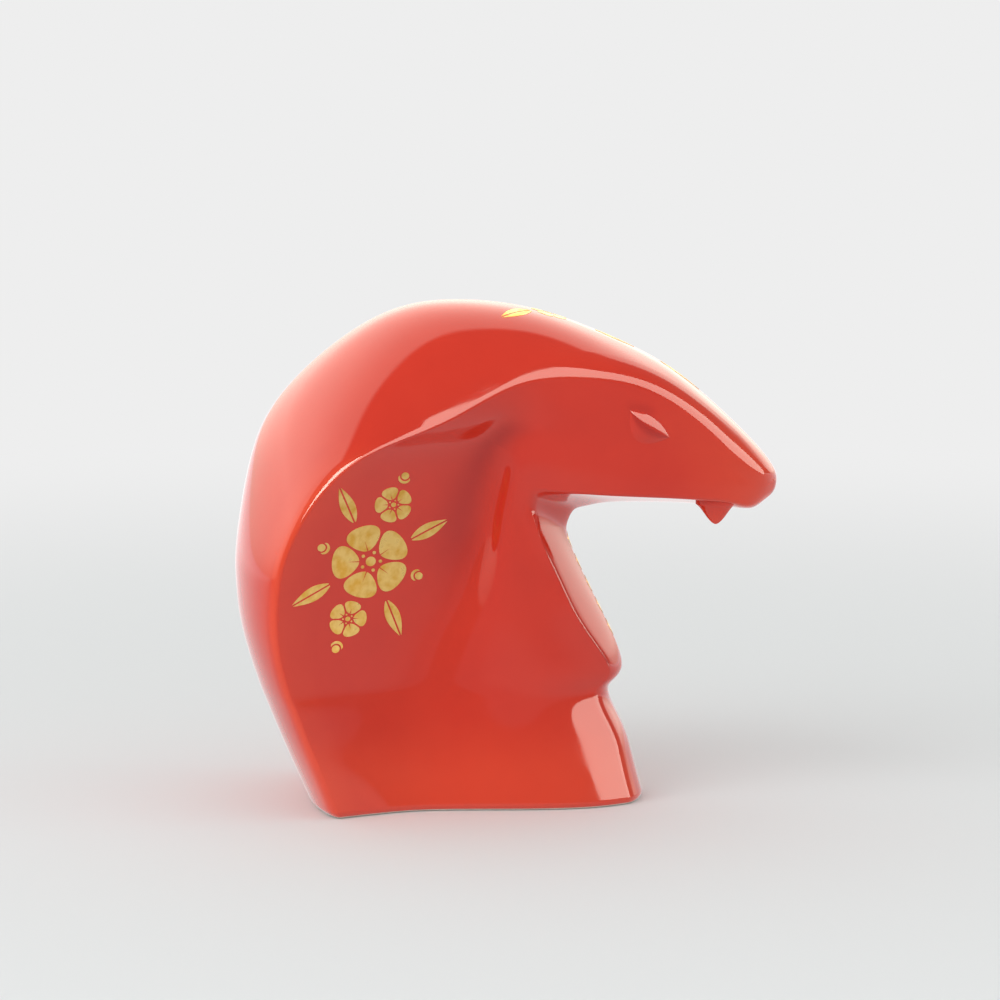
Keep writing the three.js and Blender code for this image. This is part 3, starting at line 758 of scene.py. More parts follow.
# Length of one section at the belly's lower and upper end
LOW_PACE, HIGH_PACE = 8 * MM, 4 * MM
# Gap of a joint that the glaze hides
JOINT = 0.004 * MM
# Rings round the foot's lower edge, and how many of them are wiped free of glaze
FOOT_RINGS = 8
CLAY_RINGS = 4
# Columns beside the rim over which thin glaze fades
FADE_COLUMNS = 6
# Heights on a bevel, as shares of its size
BEVEL_STEPS = np.array((0, 0.3, 1))
# Pull of the handle that rounds the snout off, as a share of the way to its tip
SNOUT_PULL = 0.3


def column_starts(layout):
    """First columns of rim, flank, edge and front in a half ring, and the count of all columns."""
    rim = len(layout["dome"])
    flank = rim + len(layout["rim"]) - 2
    edge = flank + len(layout["flank"]) - 1
    front = edge + layout["edge"].shape[-1]
    return rim, flank, edge, front, front + len(layout["front"]) - 1


def rim_thinning(layout):
    """Glaze level at each column of a whole ring: thin on the hood's rim, fading to even beside it."""
    rim, flank, _, _, count = column_starts(layout)
    half = np.zeros(count)
    half[rim:flank] = -np.sin(np.pi * layout["rim"][1:-1])
    fade = np.linspace(0, BESIDE_RIM_LEVEL, FADE_COLUMNS)
    half[rim - FADE_COLUMNS:rim] = fade
    half[flank:flank + FADE_COLUMNS] = fade[::-1]
    return both_sides(half)


def fold_painted_shade(u, layout):
    """Painted shade in the fold between hood and neck, as a glaze level at each point of whole rings."""
    _, flank, edge, _, count = column_starts(layout)
    half = np.zeros(count)
    knots = EDGE_KNOT * layout["flank"][:-1]
    half[flank:edge] = FOLD_SHADE_LEVEL * np.exp(-((knots - FOLD_KNOT) / FOLD_WIDTH) ** 2)
    return both_sides(half) * within(FOLD_SHADE, u)[:, None]


def end_distance(u):
    """Distance inside the belly's two ends, for places along the form."""
    return np.minimum((u - BELLY_FROM) * LOW_PACE, (BELLY_TO - u) * HIGH_PACE)


def lip_drop(distance, radius):
    """How far a lip is rounded off at a distance back from its wall."""
    rest = radius - np.minimum(distance, radius)
    return radius - np.sqrt(np.maximum(radius ** 2 - rest ** 2, 0))


def belly_outline_distance(u, layout):
    """Distance inside the belly's outline at points of whole rings, as far as the edge's offsets go."""
    _, _, edge, front, count = column_starts(layout)
    half = np.full(count, layout["edge"][0])
    half[edge:front] = layout["edge"]
    half[front:] = layout["edge"][-1]
    return np.minimum(both_sides(half)[None, :], end_distance(u)[:, None])


def body_rows(settings):
    """Places along the body's casting, closer together at the belly's ends."""
    steps = WALL_STEPS * settings.groove_round
    low = BELLY_FROM + steps / LOW_PACE
    high = BELLY_TO - steps[::-1] / HIGH_PACE
    foot = place_at_height(settings.foot_round)
    rows = [spaced(foot, low[0], FOOT_STEPS), low, spaced(low[-1], high[0], BELLY_STEPS), high,
            spaced(high[-1], NECK_SEAM, NAPE_STEPS)]
    return np.unique(np.concatenate(rows).round(6))


def foot_rings(settings, layout):
    """Rings round the foot's lower edge, from the table up to the side."""
    turn = np.linspace(0, math.pi / 2, FOOT_RINGS, endpoint=False)
    heights = settings.foot_round * (1 - np.cos(turn))
    insets = settings.foot_round * (1 - np.sin(turn))
    rings = outer_rings(place_at_height(heights), layout, settings)
    along = np.roll(rings, -1, axis=1) - np.roll(rings, 1, axis=1)
    return rings + unit(np.cross(UP, along)) * insets[:, None, None]


def make_body(settings, glaze):
    """The body's casting: hood, neck and foot, hollow, with the belly's recess."""
    layout = BODY_LAYOUT
    u = body_rows(settings)
    outer, normals = form_rings(u, layout, settings)
    inside = belly_outline_distance(u, layout)
    lip = lip_drop(-inside, settings.groove_lip) * within(GROOVE, u)[:, None]
    depth = np.where(inside > 0, settings.belly_thickness + settings.slip_gap, lip)
    outer = outer - normals * depth[..., None]

    foot = foot_rings(settings, layout)
    seat = place_at_height(settings.plate_thickness + settings.slip_gap)
    places = spaced(NECK_SEAM - SEAM_CLEARANCE, seat, BODY_HOLLOW_STEPS)
    inner = inner_rings(places, layout, settings.wall)
    ring = inner_rings(np.array((seat, 0.0)), layout, settings.foot_ring)
    rings = np.concatenate([foot, outer, inner, ring])
    body = new_piece("glazed_body", looped_rings(rings), glaze, "body_casting")

    level, bare = np.zeros((2, *rings.shape[:2]))
    # Thin glaze on the rim and the foot's edge, pooled glaze along the groove, painted shade in the fold
    # and painted light on the lower body
    level[:len(foot)] = np.minimum(rim_thinning(layout), FOOT_THIN_AND_LIT_LEVEL)
    level[len(foot):len(foot) + len(outer)] = (
        rim_thinning(layout) * fall(RIM_GLAZE_EVENS, u)[:, None] + np.clip(lip / settings.groove_lip, 0, 1)
        + fold_painted_shade(u, layout) + FOOT_THIN_AND_LIT_LEVEL * fall(FOOT_LIGHT_FADES, outer[..., 2]))
    bare[:CLAY_RINGS] = bare[-len(ring):] = 1
    add_attribute(body, "glaze_depth_and_light", level)
    add_attribute(body, "bare", bare)
    set_normals(body, foot.size // 3, normals, 1 - np.clip(depth / settings.groove_lip, 0, 1))


def snout_cap(rings):
    """Rings that round the last section off to the snout's tip."""
    before, ring = rings[-2:]
    flat = ring + FORWARD * ((SNOUT_TIP - ring) @ FORWARD)[:, None]
    tip = np.broadcast_to(SNOUT_TIP, ring.shape)
    leave = ring + unit(ring - before) * norm(ring - tip) * SNOUT_PULL
    shares = np.tile(np.linspace(0, 1, SNOUT_RINGS + 2)[1:-1], (len(ring), 1))
    curve = bezier(ring, leave, tip + (flat - tip) * ELLIPSE_PULL, tip, shares)
    return curve.transpose(1, 0, 2)


def make_head(settings, glaze):
    """The head's casting: crown, cheeks and jaw, hollow up to the snout, with a brow over each eye."""
    layout = HEAD_LAYOUT
    u = spaced(NECK_SEAM, *HEAD_STOPS)
    outer, normals = form_rings(u, layout, settings)
    relief = np.zeros(outer.shape[:2])
    for side in SIDES:
        away = norm(outer - node_middle(f"{side}_eye"))[..., 0]
        nearest = np.unravel_index(np.argmin(away), away.shape)
        relief += eye_relief(settings, eye_axes(settings, outer[nearest], normals[nearest]), outer)
    outer = outer - normals * relief[..., None]
    places = spaced(HOLLOW_END, NECK_SEAM + SEAM_CLEARANCE, HEAD_HOLLOW_STEPS)
    inner = inner_rings(places, layout, settings.wall)
    rings = np.concatenate([inner, outer, snout_cap(outer)])
    shape = tipped_rings(core_point(HOLLOW_TIP), rings, SNOUT_TIP)
    head = new_piece("glazed_head", shape, glaze, "head_casting")

    level = np.zeros(len(shape[0]))
    start = inner.size // 3
    # Painted shade in the fold, painted light on the snout, painted shade in the brow's dimple and painted
    # light on its fold
    here = (fold_painted_shade(u, layout) + SNOUT_LIGHT_LEVEL * rise(SNOUT_LIGHT_GROWS, u)[:, None]
            + BROW_SHADE_AND_LIGHT_LEVEL * relief / settings.brow_height)
    level[start:start + here.size] = here.ravel()
    add_attribute(head, "glaze_depth_and_light", level)
    set_normals(head, start, normals, relief == 0)


def make_belly(settings, glaze):
    """The belly panel, which lies in the body's recess with rounded lips along the groove."""
    lip = settings.groove_round
    steps = LIP_STEPS * lip
    low = BELLY_FROM + (steps + JOINT) / LOW_PACE
    high = BELLY_TO - (steps[::-1] + JOINT) / HIGH_PACE
    u = np.concatenate([low, spaced(low[-1], high[0], PANEL_STEPS)[1:-1], high])
    gap = JOINT + settings.groove_gap * within(GROOVE, u)
    # One column before the panel's edge gives the normals there a neighbour
    inward = np.concatenate([[-steps[1]], steps, PANEL_REST])
    layout = {**BODY_LAYOUT, "edge": gap[:, None] + inward, "front": spaced(0, 1, PANEL_FRONT_STEPS)}
    _, _, edge, front, count = column_starts(layout)
    rings, normals = form_rings(u, layout, settings)
    keep = slice(edge + 1, rings.shape[1] - edge)
    half = np.full(count, inward[-1])
    half[edge:front] = inward
    inside = np.minimum(both_sides(half)[None, keep], (end_distance(u) - JOINT)[:, None])
    rings, normals = rings[:, keep], normals[:, keep]
    drop = lip_drop(inside, lip) * within(GROOVE, u)[:, None]
    shape = slab(rings - normals * drop[..., None], rings - normals * settings.belly_thickness)
    belly = new_piece("glazed_belly_panel", shape, glaze, "belly_panel")
    level = np.clip(drop / lip, 0, 1)
    add_attribute(belly, "glaze_depth_and_light", np.concatenate([level, level], axis=1))
    flush = np.concatenate([1 - level, np.zeros_like(level)], axis=1)
    set_normals(belly, 0, np.concatenate([normals, -normals[:, ::-1]], axis=1), flush)


def make_base_plate(settings, clay):
    """The bare plate that closes the foot, with its vent."""
    edge = settings.foot_ring + settings.slip_gap
    lift = BEVEL_STEPS * settings.plate_round
    heights = np.concatenate([lift, settings.plate_thickness - lift[::-1]])
    insets = np.concatenate([lift[::-1], lift])
    outline = [inner_rings(place_at_height(np.array([z])), BODY_LAYOUT, edge + inset)[0]
               for z, inset in zip(heights, insets)]
    middle = core_point(0.0)
    spokes = unit((outline[0] - middle) * (1 - UP))
    vent = [middle + spokes * (settings.vent / 2 + inset) + UP * z
            for z, inset in zip(heights[::-1], insets[::-1])]
    new_piece("bare_base_plate", looped_rings(np.array(outline + vent)), clay, "base_plate")


# Eyes and fangs

# The fold above an eye: its height above the lid, its width, the stretches along the eye over which the
# raised fore part and the sunken rear part come and go, the fore part's share and the least that counts
BROW_LIFT, BROW_WIDTH = 0.9 * MM, 1.0 * MM
FORE = np.array(((-0.5, 2), (3.5, 6.5))) * MM
REAR = np.array(((-7, -4), (-2, 0.5))) * MM
FORE_SHARE = 0.4
LEAST_FOLD = 0.01
# An eye's grid: columns, spaced by the sine of angles up to the last one, and rows below the upper lid
EYE_COLUMNS, EYE_LAST_ANGLE = 44, 1.4
EYE_ROWS = 26
# How fast an eye's swell runs out below, and the shares of its height between which painted shade lies,
# drawn as deep glaze
EYE_RUN_OUT = 1.4
EYE_SHADE_BAND = ((0.25, 0.4), (0.45, 0.75))
# A fang: height of its root as a share of the fang, rings of root and tooth, sides, and its half width as
# shares of a cone, of an ellipse and of a flare with a power
FANG_ROOT = 0.7
ROOT_RINGS, TOOTH_RINGS, FANG_SIDES = 4, 21, 40
FANG_CONE, FANG_ROUND, FANG_FLARE, FLARE_POWER = 0.5, 0.42, 0.2, 5


def eye_axes(settings, middle, out):
    """An eye's middle on the cheek, with its directions along, up and out."""
    along = FORWARD * math.cos(settings.eye_tilt) - UP * math.sin(settings.eye_tilt)
    along = unit(along - out * (along @ out))
    up = np.cross(out, along)
    return middle, along, up * np.sign(up[2]), out


def eye_lid(settings, a):
    """Half height of an eye at a place along it."""
    return settings.eye_height / 2 * np.maximum(1 - (a / (settings.eye_length / 2)) ** 2, 0)


def eye_relief(settings, axes, points):
    """How far the cheek is sunk by the dimple behind a brow, and raised by the fold before it."""
    middle, along, up, out = axes
    offset = points - middle
    a, b = offset @ along, offset @ up
    edge = eye_lid(settings, a) * 2 * settings.eye_arch / settings.eye_height
    fold = np.exp(-((b - edge - BROW_LIFT) / BROW_WIDTH) ** 2)
    sink = within(REAR, a) - FORE_SHARE * within(FORE, a)
    near = (np.abs(offset @ out) < settings.eye_length) & (fold > LEAST_FOLD)
    return np.where(near, settings.brow_height * fold * sink, 0)


def make_eye(settings, side, cheek, glaze):
    """An eye bead: an almond that stands up from the cheek under its brow and runs out evenly below."""
    spot, out, _, _ = cheek.find_nearest(Vector(node_middle(f"{side}_eye")))
    middle, along, up, out = eye_axes(settings, np.array(spot), np.array(out))
    a = np.sin(np.linspace(-EYE_LAST_ANGLE, EYE_LAST_ANGLE, EYE_COLUMNS)) * settings.eye_length / 2
    s = np.linspace(0, 1, EYE_ROWS)
    lid = eye_lid(settings, a)[:, None]
    swell = s * (1 - s) ** EYE_RUN_OUT
    height = settings.eye_swell * lid / lid.max() * swell / swell.max()
    climb = lid * (settings.eye_arch - settings.eye_height * s) / settings.eye_height * 2
    flat = middle + (along * a[:, None])[:, None] + up * climb[..., None]
    seat = np.array([[cheek.ray_cast(Vector(p + out * settings.eye_length), Vector(-out))[0] for p in row]
                     for row in flat])
    outer, inner = seat + out * height[..., None], seat - out * settings.eye_depth
    # Painted shade on the bead's lower side, drawn as pooled glaze
    eye_shade = np.tile(EYE_SHADE_LEVEL * within(EYE_SHADE_BAND, s), (len(a), 1))
    if np.dot(np.cross(along, up), out) < 0:
        outer, inner, eye_shade = outer[:, ::-1], inner[:, ::-1], eye_shade[:, ::-1]
    eye = new_piece(f"{side}_eye_bead", slab(outer, inner), glaze, f"{side}_eye")
    eye.data.set_sharp_from_angle(angle=SHARP_ANGLE)
    add_attribute(eye, "glaze_depth_and_light", np.concatenate([eye_shade, eye_shade[:, ::-1]], axis=1))


def make_fang(settings, side, glaze):
    """A blunt fang with its root in the lip, flared where the glaze fills the joint."""
    low, high = (np.array(corner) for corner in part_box(f"{side}_fang"))
    middle, half = (low + high) / 2, (high - low) / 2
    lip = low[2] + settings.fang_blunt + settings.fang_height
    root = np.linspace(-FANG_ROOT, 0, ROOT_RINGS, endpoint=False)
    down = np.concatenate([root, np.sin(np.linspace(0, math.pi / 2, TOOTH_RINGS, endpoint=False))])
    below = np.clip(down, 0, 1)
    width = (FANG_CONE * (1 - below) + FANG_ROUND * np.sqrt(1 - below ** 2)
             + FANG_FLARE * (1 - below) ** FLARE_POWER)
    turn = np.linspace(0, 2 * math.pi, FANG_SIDES, endpoint=False)
    rings = np.stack(np.broadcast_arrays(
        middle[0] + half[0] * width[:, None] * np.cos(turn),
        middle[1] + half[1] * width[:, None] * np.sin(turn),
        lip - settings.fang_height * down[:, None]), axis=-1)
    top, tip = (np.array((*middle[:2], lip - settings.fang_height * share)) for share in (-FANG_ROOT, 1))
    shape = tipped_rings(top, rings[:, ::-1], tip)
    fang = new_piece(f"{side}_fang_tooth", shape, glaze, f"{side}_fang")
    level = FANG_LEVEL * np.concatenate([np.repeat(below, len(turn)), (0, 1)])
    add_attribute(fang, "glaze_depth_and_light", level)


# Gold motifs, each a list of flat outlines round its own middle

# A blossom's shares of its radius, and the angle that its petals leave open at their roots
PETALS = 5
PETAL_ROOT, PETAL_SLIT, PETAL_WIDTH = 0.3, 0.62, 0.56
PETAL_OPENING = 0.2
BLOSSOM_EYE, STAMEN, STAMEN_PLACE = 0.13, 0.045, 0.25
# Power that shifts a leaf's widest place towards its stalk
LEAF_SHIFT = 0.85
# A bud's shares of its radius, and the angles between which its cup runs
BUD_BALL, BUD_BALL_PLACE = 0.62, 0.34
CUP_HOLLOW, CUP_HOLLOW_PLACE = 0.86, 0.3
CUP_ANGLES = (0.55 * math.pi, 1.45 * math.pi)
# Counts of points on the outlines
PETAL_POINTS, LEAF_POINTS, LOZENGE_POINTS, CUP_POINTS = 44, 22, 14, 20
EYE_POINTS, STAMEN_POINTS, BALL_POINTS = 20, 10, 24
# Spacing of the extra points of a film, height of its underside as a share of its thickness, and a
# distance outside the figurine from which films are dropped on it
FILM_PITCH = 0.7 * MM
FILM_UNDERSIDE = 0.2
DROP_START = 300 * MM
# Kind of triangles kept inside an outline, and the distance under which its points merge
KEEP_INSIDE, MERGE_DISTANCE = 1, 1e-9

# Directions right, up and out on each face that carries gold, the piece that it lies on, and the node
# that its spray runs to
GOLD_FACES = {
    "right": (FORWARD, UP, -ASIDE),
    "left": (FORWARD, UP, ASIDE),
    "crown": (FORWARD, ASIDE, UP),
    "belly": (UP, ASIDE, FORWARD),
}
GOLD_GROUNDS = {"right": "glazed_body", "left": "glazed_body", "crown": "glazed_head",
                "belly": "glazed_belly_panel"}
SPRAY_ENDS = {"right": "gold_right_upper_blossom", "left": "gold_left_upper_blossom",
              "crown": "gold_brow_leaf"}


def arc_points(radius, start, stop, count, closed=False):
    """Points on a circle between two angles. A closed circle leaves out its last point."""
    turn = np.linspace(start, stop, count, endpoint=not closed)
    return np.stack([np.cos(turn), np.sin(turn)], axis=-1) * radius


def circle(radius, count, place=0.0):
    """Points on a whole circle, at a place to the right of the middle."""
    return arc_points(radius, 0, 2 * math.pi, count, closed=True) + np.array((place, 0))


def turned(points, bearing):
    """Flat points turned round their middle."""
    c, s = math.cos(bearing), math.sin(bearing)
    return points @ np.array(((c, s), (-s, c)))


def blossom(gold, radius):
    """Five petals with slit bases round a dotted eye."""
    half_angle = math.pi / PETALS
    root = PETAL_ROOT * radius
    s = np.linspace(PETAL_OPENING, 2 * math.pi - PETAL_OPENING, PETAL_POINTS)
    reach = (1 - np.cos(s)) / 2
    x = root + (radius - root) * reach
    y = PETAL_WIDTH * radius * np.sin(s) * (1 + reach) / 2
    limit = np.maximum(x * math.tan(half_angle) - gold.vein / 2 / math.cos(half_angle), gold.vein / 2)
    outline = np.stack([x, np.clip(y, -limit, limit)], axis=-1)
    thin = gold.vein / 3
    petal = np.concatenate([outline, ((root, -thin), (PETAL_SLIT * radius, 0), (root, thin))])
    stamen = circle(STAMEN * radius, STAMEN_POINTS)
    stalk = np.array((STAMEN_PLACE * radius, 0))
    return ([turned(petal, half_angle * (2 * i + 1)) for i in range(PETALS)]
            + [circle(BLOSSOM_EYE * radius, EYE_POINTS)]
            + [stamen + turned(stalk, half_angle * 2 * i) for i in range(PETALS)])


def leaf(gold, long, wide):
    """Two halves of a pointed leaf beside its vein."""
    t = np.linspace(0, 1, LEAF_POINTS)
    x = (t - 0.5) * long
    y = wide / 2 * np.sin(np.pi * t ** LEAF_SHIFT)
    vein = np.minimum(gold.vein / 2, y)
    upper = np.concatenate([np.stack([x, y], axis=-1)[1:-1], np.stack([x, vein], axis=-1)[-2:0:-1]])
    return [upper, (upper * np.array((1, -1)))[::-1]]


def bud(radius):
    """A round bud in a crescent cup."""
    cup = arc_points(radius, *CUP_ANGLES, CUP_POINTS)
    hollow = arc_points(CUP_HOLLOW * radius, *CUP_ANGLES[::-1], CUP_POINTS)
    hollow = hollow + np.array((CUP_HOLLOW_PLACE * radius, 0))
    return [circle(BUD_BALL * radius, BALL_POINTS, BUD_BALL_PLACE * radius), np.concatenate([cup, hollow])]


def lozenge(long, wide):
    """A pointed lozenge."""
    t = np.linspace(0, 1, LOZENGE_POINTS)
    edge = np.stack([(t - 0.5) * long, wide / 2 * np.sin(np.pi * t)], axis=-1)
    return [np.concatenate([edge[:-1], (edge * np.array((1, -1)))[:0:-1]])]


def motif_islands(gold, name):
    """Outlines of the motif that a gold node stands for, by its name."""
    kind = name.rstrip("_0123456789")
    if kind.endswith("lozenge"):
        return lozenge(gold.lozenge, gold.lozenge_width)
    if kind.endswith("leaf"):
        return leaf(gold, gold.leaf, gold.leaf_width)
    if kind.endswith("bud"):
        return bud(gold.bud)
    large = name in ("gold_right_blossom", "gold_left_blossom")
    return blossom(gold, gold.blossom if large else gold.small_blossom)


def motif_bearing(name, face, middle):
    """Turn of a motif: none on the belly, else away from its spray's blossom, which faces the end."""
    if face == "belly":
        return 0.0
    right, up, _ = GOLD_FACES[face]
    root = f"gold_{face}_blossom"
    end = node_middle(SPRAY_ENDS[face]) if name == root else middle
    offset = end - node_middle(root)
    return math.atan2(offset @ up, offset @ right)


def points_within(outline, points):
    """Which flat points lie inside an outline: a line to the right crosses it an odd number of times."""
    ahead = np.roll(outline, -1, axis=0)
    x, y = points[:, None, 0], points[:, None, 1]
    crossing = (outline[:, 1] > y) != (ahead[:, 1] > y)
    climb = np.where(ahead[:, 1] == outline[:, 1], TINY, ahead[:, 1] - outline[:, 1])
    meets = outline[:, 0] + (y - outline[:, 1]) * (ahead[:, 0] - outline[:, 0]) / climb
    return (crossing & (x < meets)).sum(axis=1) % 2 == 1


def filled(outline):
    """Flat triangles inside an outline, with extra points so that the film can follow a curved surface."""
    starts, ends = outline.min(axis=0) + FILM_PITCH / 2, outline.max(axis=0)
    columns, rows = (np.arange(start, end, FILM_PITCH) for start, end in zip(starts, ends))
    grid = np.stack(np.meshgrid(columns, rows), axis=-1).reshape(-1, 2)
    clear = norm(grid[:, None] - outline).min(axis=1)[:, 0] > FILM_PITCH / 3
    points = np.concatenate([outline, grid[points_within(outline, grid) & clear]])
    edges = [(i, (i + 1) % len(outline)) for i in range(len(outline))]
    result = delaunay_2d_cdt([Vector(p) for p in points], edges, [], KEEP_INSIDE, MERGE_DISTANCE)
    return np.array([tuple(p) for p in result[0]]), [tuple(f) for f in result[2]]


def laid_film(gold, surface, face, islands, middle, bearing):
    """Points and faces of gold films, dropped along a face's direction on a surface."""
    right, up, away = GOLD_FACES[face]
    turn = slice(None, None, -1 if np.dot(np.cross(right, up), away) < 0 else 1)
    points, faces = [], []
    for island in islands:
        flat, triangles = filled(turned(island, bearing))
        start, count = len(points), len(flat)
        starts = middle * (right + up) + right * flat[:, :1] + up * flat[:, 1:] + away * DROP_START
        seats = [surface.ray_cast(Vector(spot), Vector(-away))[:2] for spot in starts]
        for share in (1, FILM_UNDERSIDE):
            points += [np.array(spot) + np.array(normal) * gold.film * share for spot, normal in seats]
        upper = [tuple(start + i for i in triangle[turn]) for triangle in triangles]
        faces += upper + [tuple(count + i for i in triangle[::-1]) for triangle in upper]
        sides = {pair for a, b, c in upper for pair in ((a, b), (b, c), (c, a))}
        faces += [(b, a, count + a, count + b) for a, b in sorted(sides) if (b, a) not in sides]
    return np.array(points), faces


def make_gold(gold, material):
    """All gold films, each where its node lies and turned away from the blossom it belongs to."""
    surfaces = {face: surface_of(ground) for face, ground in GOLD_GROUNDS.items()}
    for name in sorted(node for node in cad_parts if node.startswith("gold_")):
        face = name.split("_")[1].replace("brow", "crown")
        middle = node_middle(name)
        bearing = motif_bearing(name, face, middle)
        shape = laid_film(gold, surfaces[face], face, motif_islands(gold, name), middle, bearing)
        film = new_piece(f"{name}_film", shape, material, name)
        film.data.set_sharp_from_angle(angle=SHARP_ANGLE)


# Studio

SENSOR_WIDTH = 36
CLIP_NEAR, CLIP_FAR = 0.01, 100
FLOOR_SPAN, FLOOR_DROP = 30.0, 0.02 * MM
# The paper: how its shadow fades out with the distance, up to even paper, and how bright it is in
# reflections, from in front of the figurine to behind it
SHADOW_FADE = {"From Min": 0.12, "From Max": 0.6, "To Min": 0.05}
PAPER_GLOSS = {"From Min": -0.25, "From Max": 0.5, "To Min": 0.6, "To Max": 1.6}
# Way to the bright half of the room, in degrees from the camera round to the right. Facing it, the scrim
# has a crisp edge and grows brighter from there. In reflections it is dimmer near the floor, up to a
# height.
SCRIM_BEARING = -132
SCRIM_EDGE = {"From Min": -0.01, "From Max": 0.05, "To Max": 0.55}
SCRIM_DEPTH = {"From Max": 0.65, "To Max": 0.45}
SCRIM_DIM_HEIGHT, SCRIM_FLOOR_SHARE = 0.45, 0.27
# Way to the pale wall low behind on the right, in degrees from the camera round to the right and from the
# floor up. Facing it, the wall has a soft edge, fades out higher up and is dimmer near the floor.
WALL_BEARING, WALL_HEIGHT = 150, 10
WALL_EDGE = {"From Min": 0.85, "From Max": 0.91, "To Max": 0.66}
WALL_TOP = {"From Min": 0.24, "From Max": 0.45, "To Min": 1.0, "To Max": 0.0}
WALL_FOOT = {"From Max": 0.12, "To Min": 0.45}


def look_at(obj, target):
    """Turns a lamp or a camera to a point."""
    obj.rotation_euler = (Vector(target) - obj.location).to_track_quat("-Z", "Y").to_euler()


def bearing_of(azimuth, elevation):
    """Direction from the figurine: azimuth 0 is towards the camera, 90 to the right, in degrees."""
    a, e = math.radians(azimuth), math.radians(elevation)
    return Vector((math.sin(a) * math.cos(e), -math.cos(a) * math.cos(e), math.sin(e)))


def add_softbox(name, azimuth, elevation, distance, size, radiance):
    """A rectangular lamp that faces the figurine, with a radiance where white paper has about 1."""
    lamp = bpy.data.lights.new(name, "AREA")
    lamp.shape = "RECTANGLE"
    lamp.size, lamp.size_y = size
    lamp.energy = radiance * math.pi * size[0] * size[1]
    obj = link_object(name, lamp)
    obj.location = VIEW_TARGET + bearing_of(azimuth, elevation) * distance
    look_at(obj, VIEW_TARGET)
    obj.visible_camera = False
    return obj


def add_panel(studio, *place, roll):
    """A softbox that only shows in reflections, turned upright and rolled by degrees."""
    panel = add_softbox(*place)
    panel.visible_diffuse = False
    panel.data.color = studio.tint[:3]
    look_at(panel, (*VIEW_TARGET[:2], panel.location.z))
    panel.rotation_euler.rotate_axis("Z", math.radians(roll))


def add_camera(studio):
    """The camera, which looks down a little on the figurine's right side."""
    camera = link_object("camera", bpy.data.cameras.new("camera"))
    camera.location = VIEW_TARGET + bearing_of(0, math.degrees(studio.elevation)) * studio.distance
    look_at(camera, VIEW_TARGET)
    camera.data.sensor_width = SENSOR_WIDTH
    camera.data.lens = SENSOR_WIDTH * studio.distance / studio.view_width
    camera.data.clip_start, camera.data.clip_end = CLIP_NEAR, CLIP_FAR
    bpy.context.scene.camera = camera


def pale_paper(studio):
    """Matte paper sweep: it takes the figurine's shadow near by and stays evenly pale further off."""
    material, tree, shader = new_material("pale_paper")
    set_sockets(tree, shader, {"Base Color": studio.floor, "Roughness": 0.9, "Specular IOR Level": 0.1})
    place = add_node(tree, "ShaderNodeTexCoord").outputs["Object"]
    away = add_node(tree, "ShaderNodeVectorMath", {0: place}, operation="LENGTH").outputs["Value"]
    far = add_node(tree, "ShaderNodeMapRange", {"Value": away, **SHADOW_FADE},
                   interpolation_type="SMOOTHSTEP")
    rays = add_node(tree, "ShaderNodeLightPath").outputs
    seen = add_node(tree, "ShaderNodeMath", {0: far.outputs["Result"], 1: rays["Is Camera Ray"]},
                    operation="MULTIPLY")
    share = add_node(tree, "ShaderNodeMath", {0: seen.outputs[0], 1: rays["Is Glossy Ray"]},
                     operation="MAXIMUM")
    behind = add_node(tree, "ShaderNodeSeparateXYZ", {"Vector": place}).outputs["Y"]
    level = add_node(tree, "ShaderNodeMapRange", {"Value": behind, **PAPER_GLOSS})
    strength = add_node(tree, "ShaderNodeMapRange", {
        "Value": rays["Is Glossy Ray"], "To Min": 1.0, "To Max": level.outputs["Result"]})
    glow = add_node(tree, "ShaderNodeEmission", {
        "Color": studio.backdrop, "Strength": strength.outputs["Result"]})
    mix = add_node(tree, "ShaderNodeMixShader", {
        0: share.outputs[0], 1: shader.outputs["BSDF"], 2: glow.outputs["Emission"]})
    set_sockets(tree, tree.nodes["Material Output"], {"Surface": mix.outputs["Shader"]})
    return material


def add_floor(studio):
    """A wide paper floor under the figurine."""
    mesh = bpy.data.meshes.new("paper_floor")
    corners = [(x * FLOOR_SPAN, y * FLOOR_SPAN, -FLOOR_DROP)
               for x, y in ((-1, -1), (1, -1), (1, 1), (-1, 1))]
    mesh.from_pydata(corners, [], [(0, 1, 2, 3)])
    mesh.materials.append(pale_paper(studio))
    link_object("paper_floor", mesh)


def scrim_share(tree, heading, height, mirrored):
    """Brightness of the scrim over the left and far half of the room."""
    side = add_node(tree, "ShaderNodeVectorMath", {0: heading, 1: bearing_of(SCRIM_BEARING, 0)},
                    operation="DOT_PRODUCT").outputs["Value"]
    edge, depth = (add_node(tree, "ShaderNodeMapRange", {"Value": side, **ramp},
                            interpolation_type="SMOOTHSTEP").outputs["Result"]
                   for ramp in (SCRIM_EDGE, SCRIM_DEPTH))
    share = add_node(tree, "ShaderNodeMath", {0: edge, 1: depth}, operation="ADD")
    floor_level = add_node(tree, "ShaderNodeMapRange", {
        "Value": mirrored, "To Min": 1.0, "To Max": SCRIM_FLOOR_SHARE})
    low = add_node(tree, "ShaderNodeMapRange", {
        "Value": height, "From Max": SCRIM_DIM_HEIGHT, "To Min": floor_level.outputs["Result"]})
    return add_node(tree, "ShaderNodeMath", {0: share.outputs[0], 1: low.outputs["Result"]},
                    operation="MULTIPLY").outputs[0]


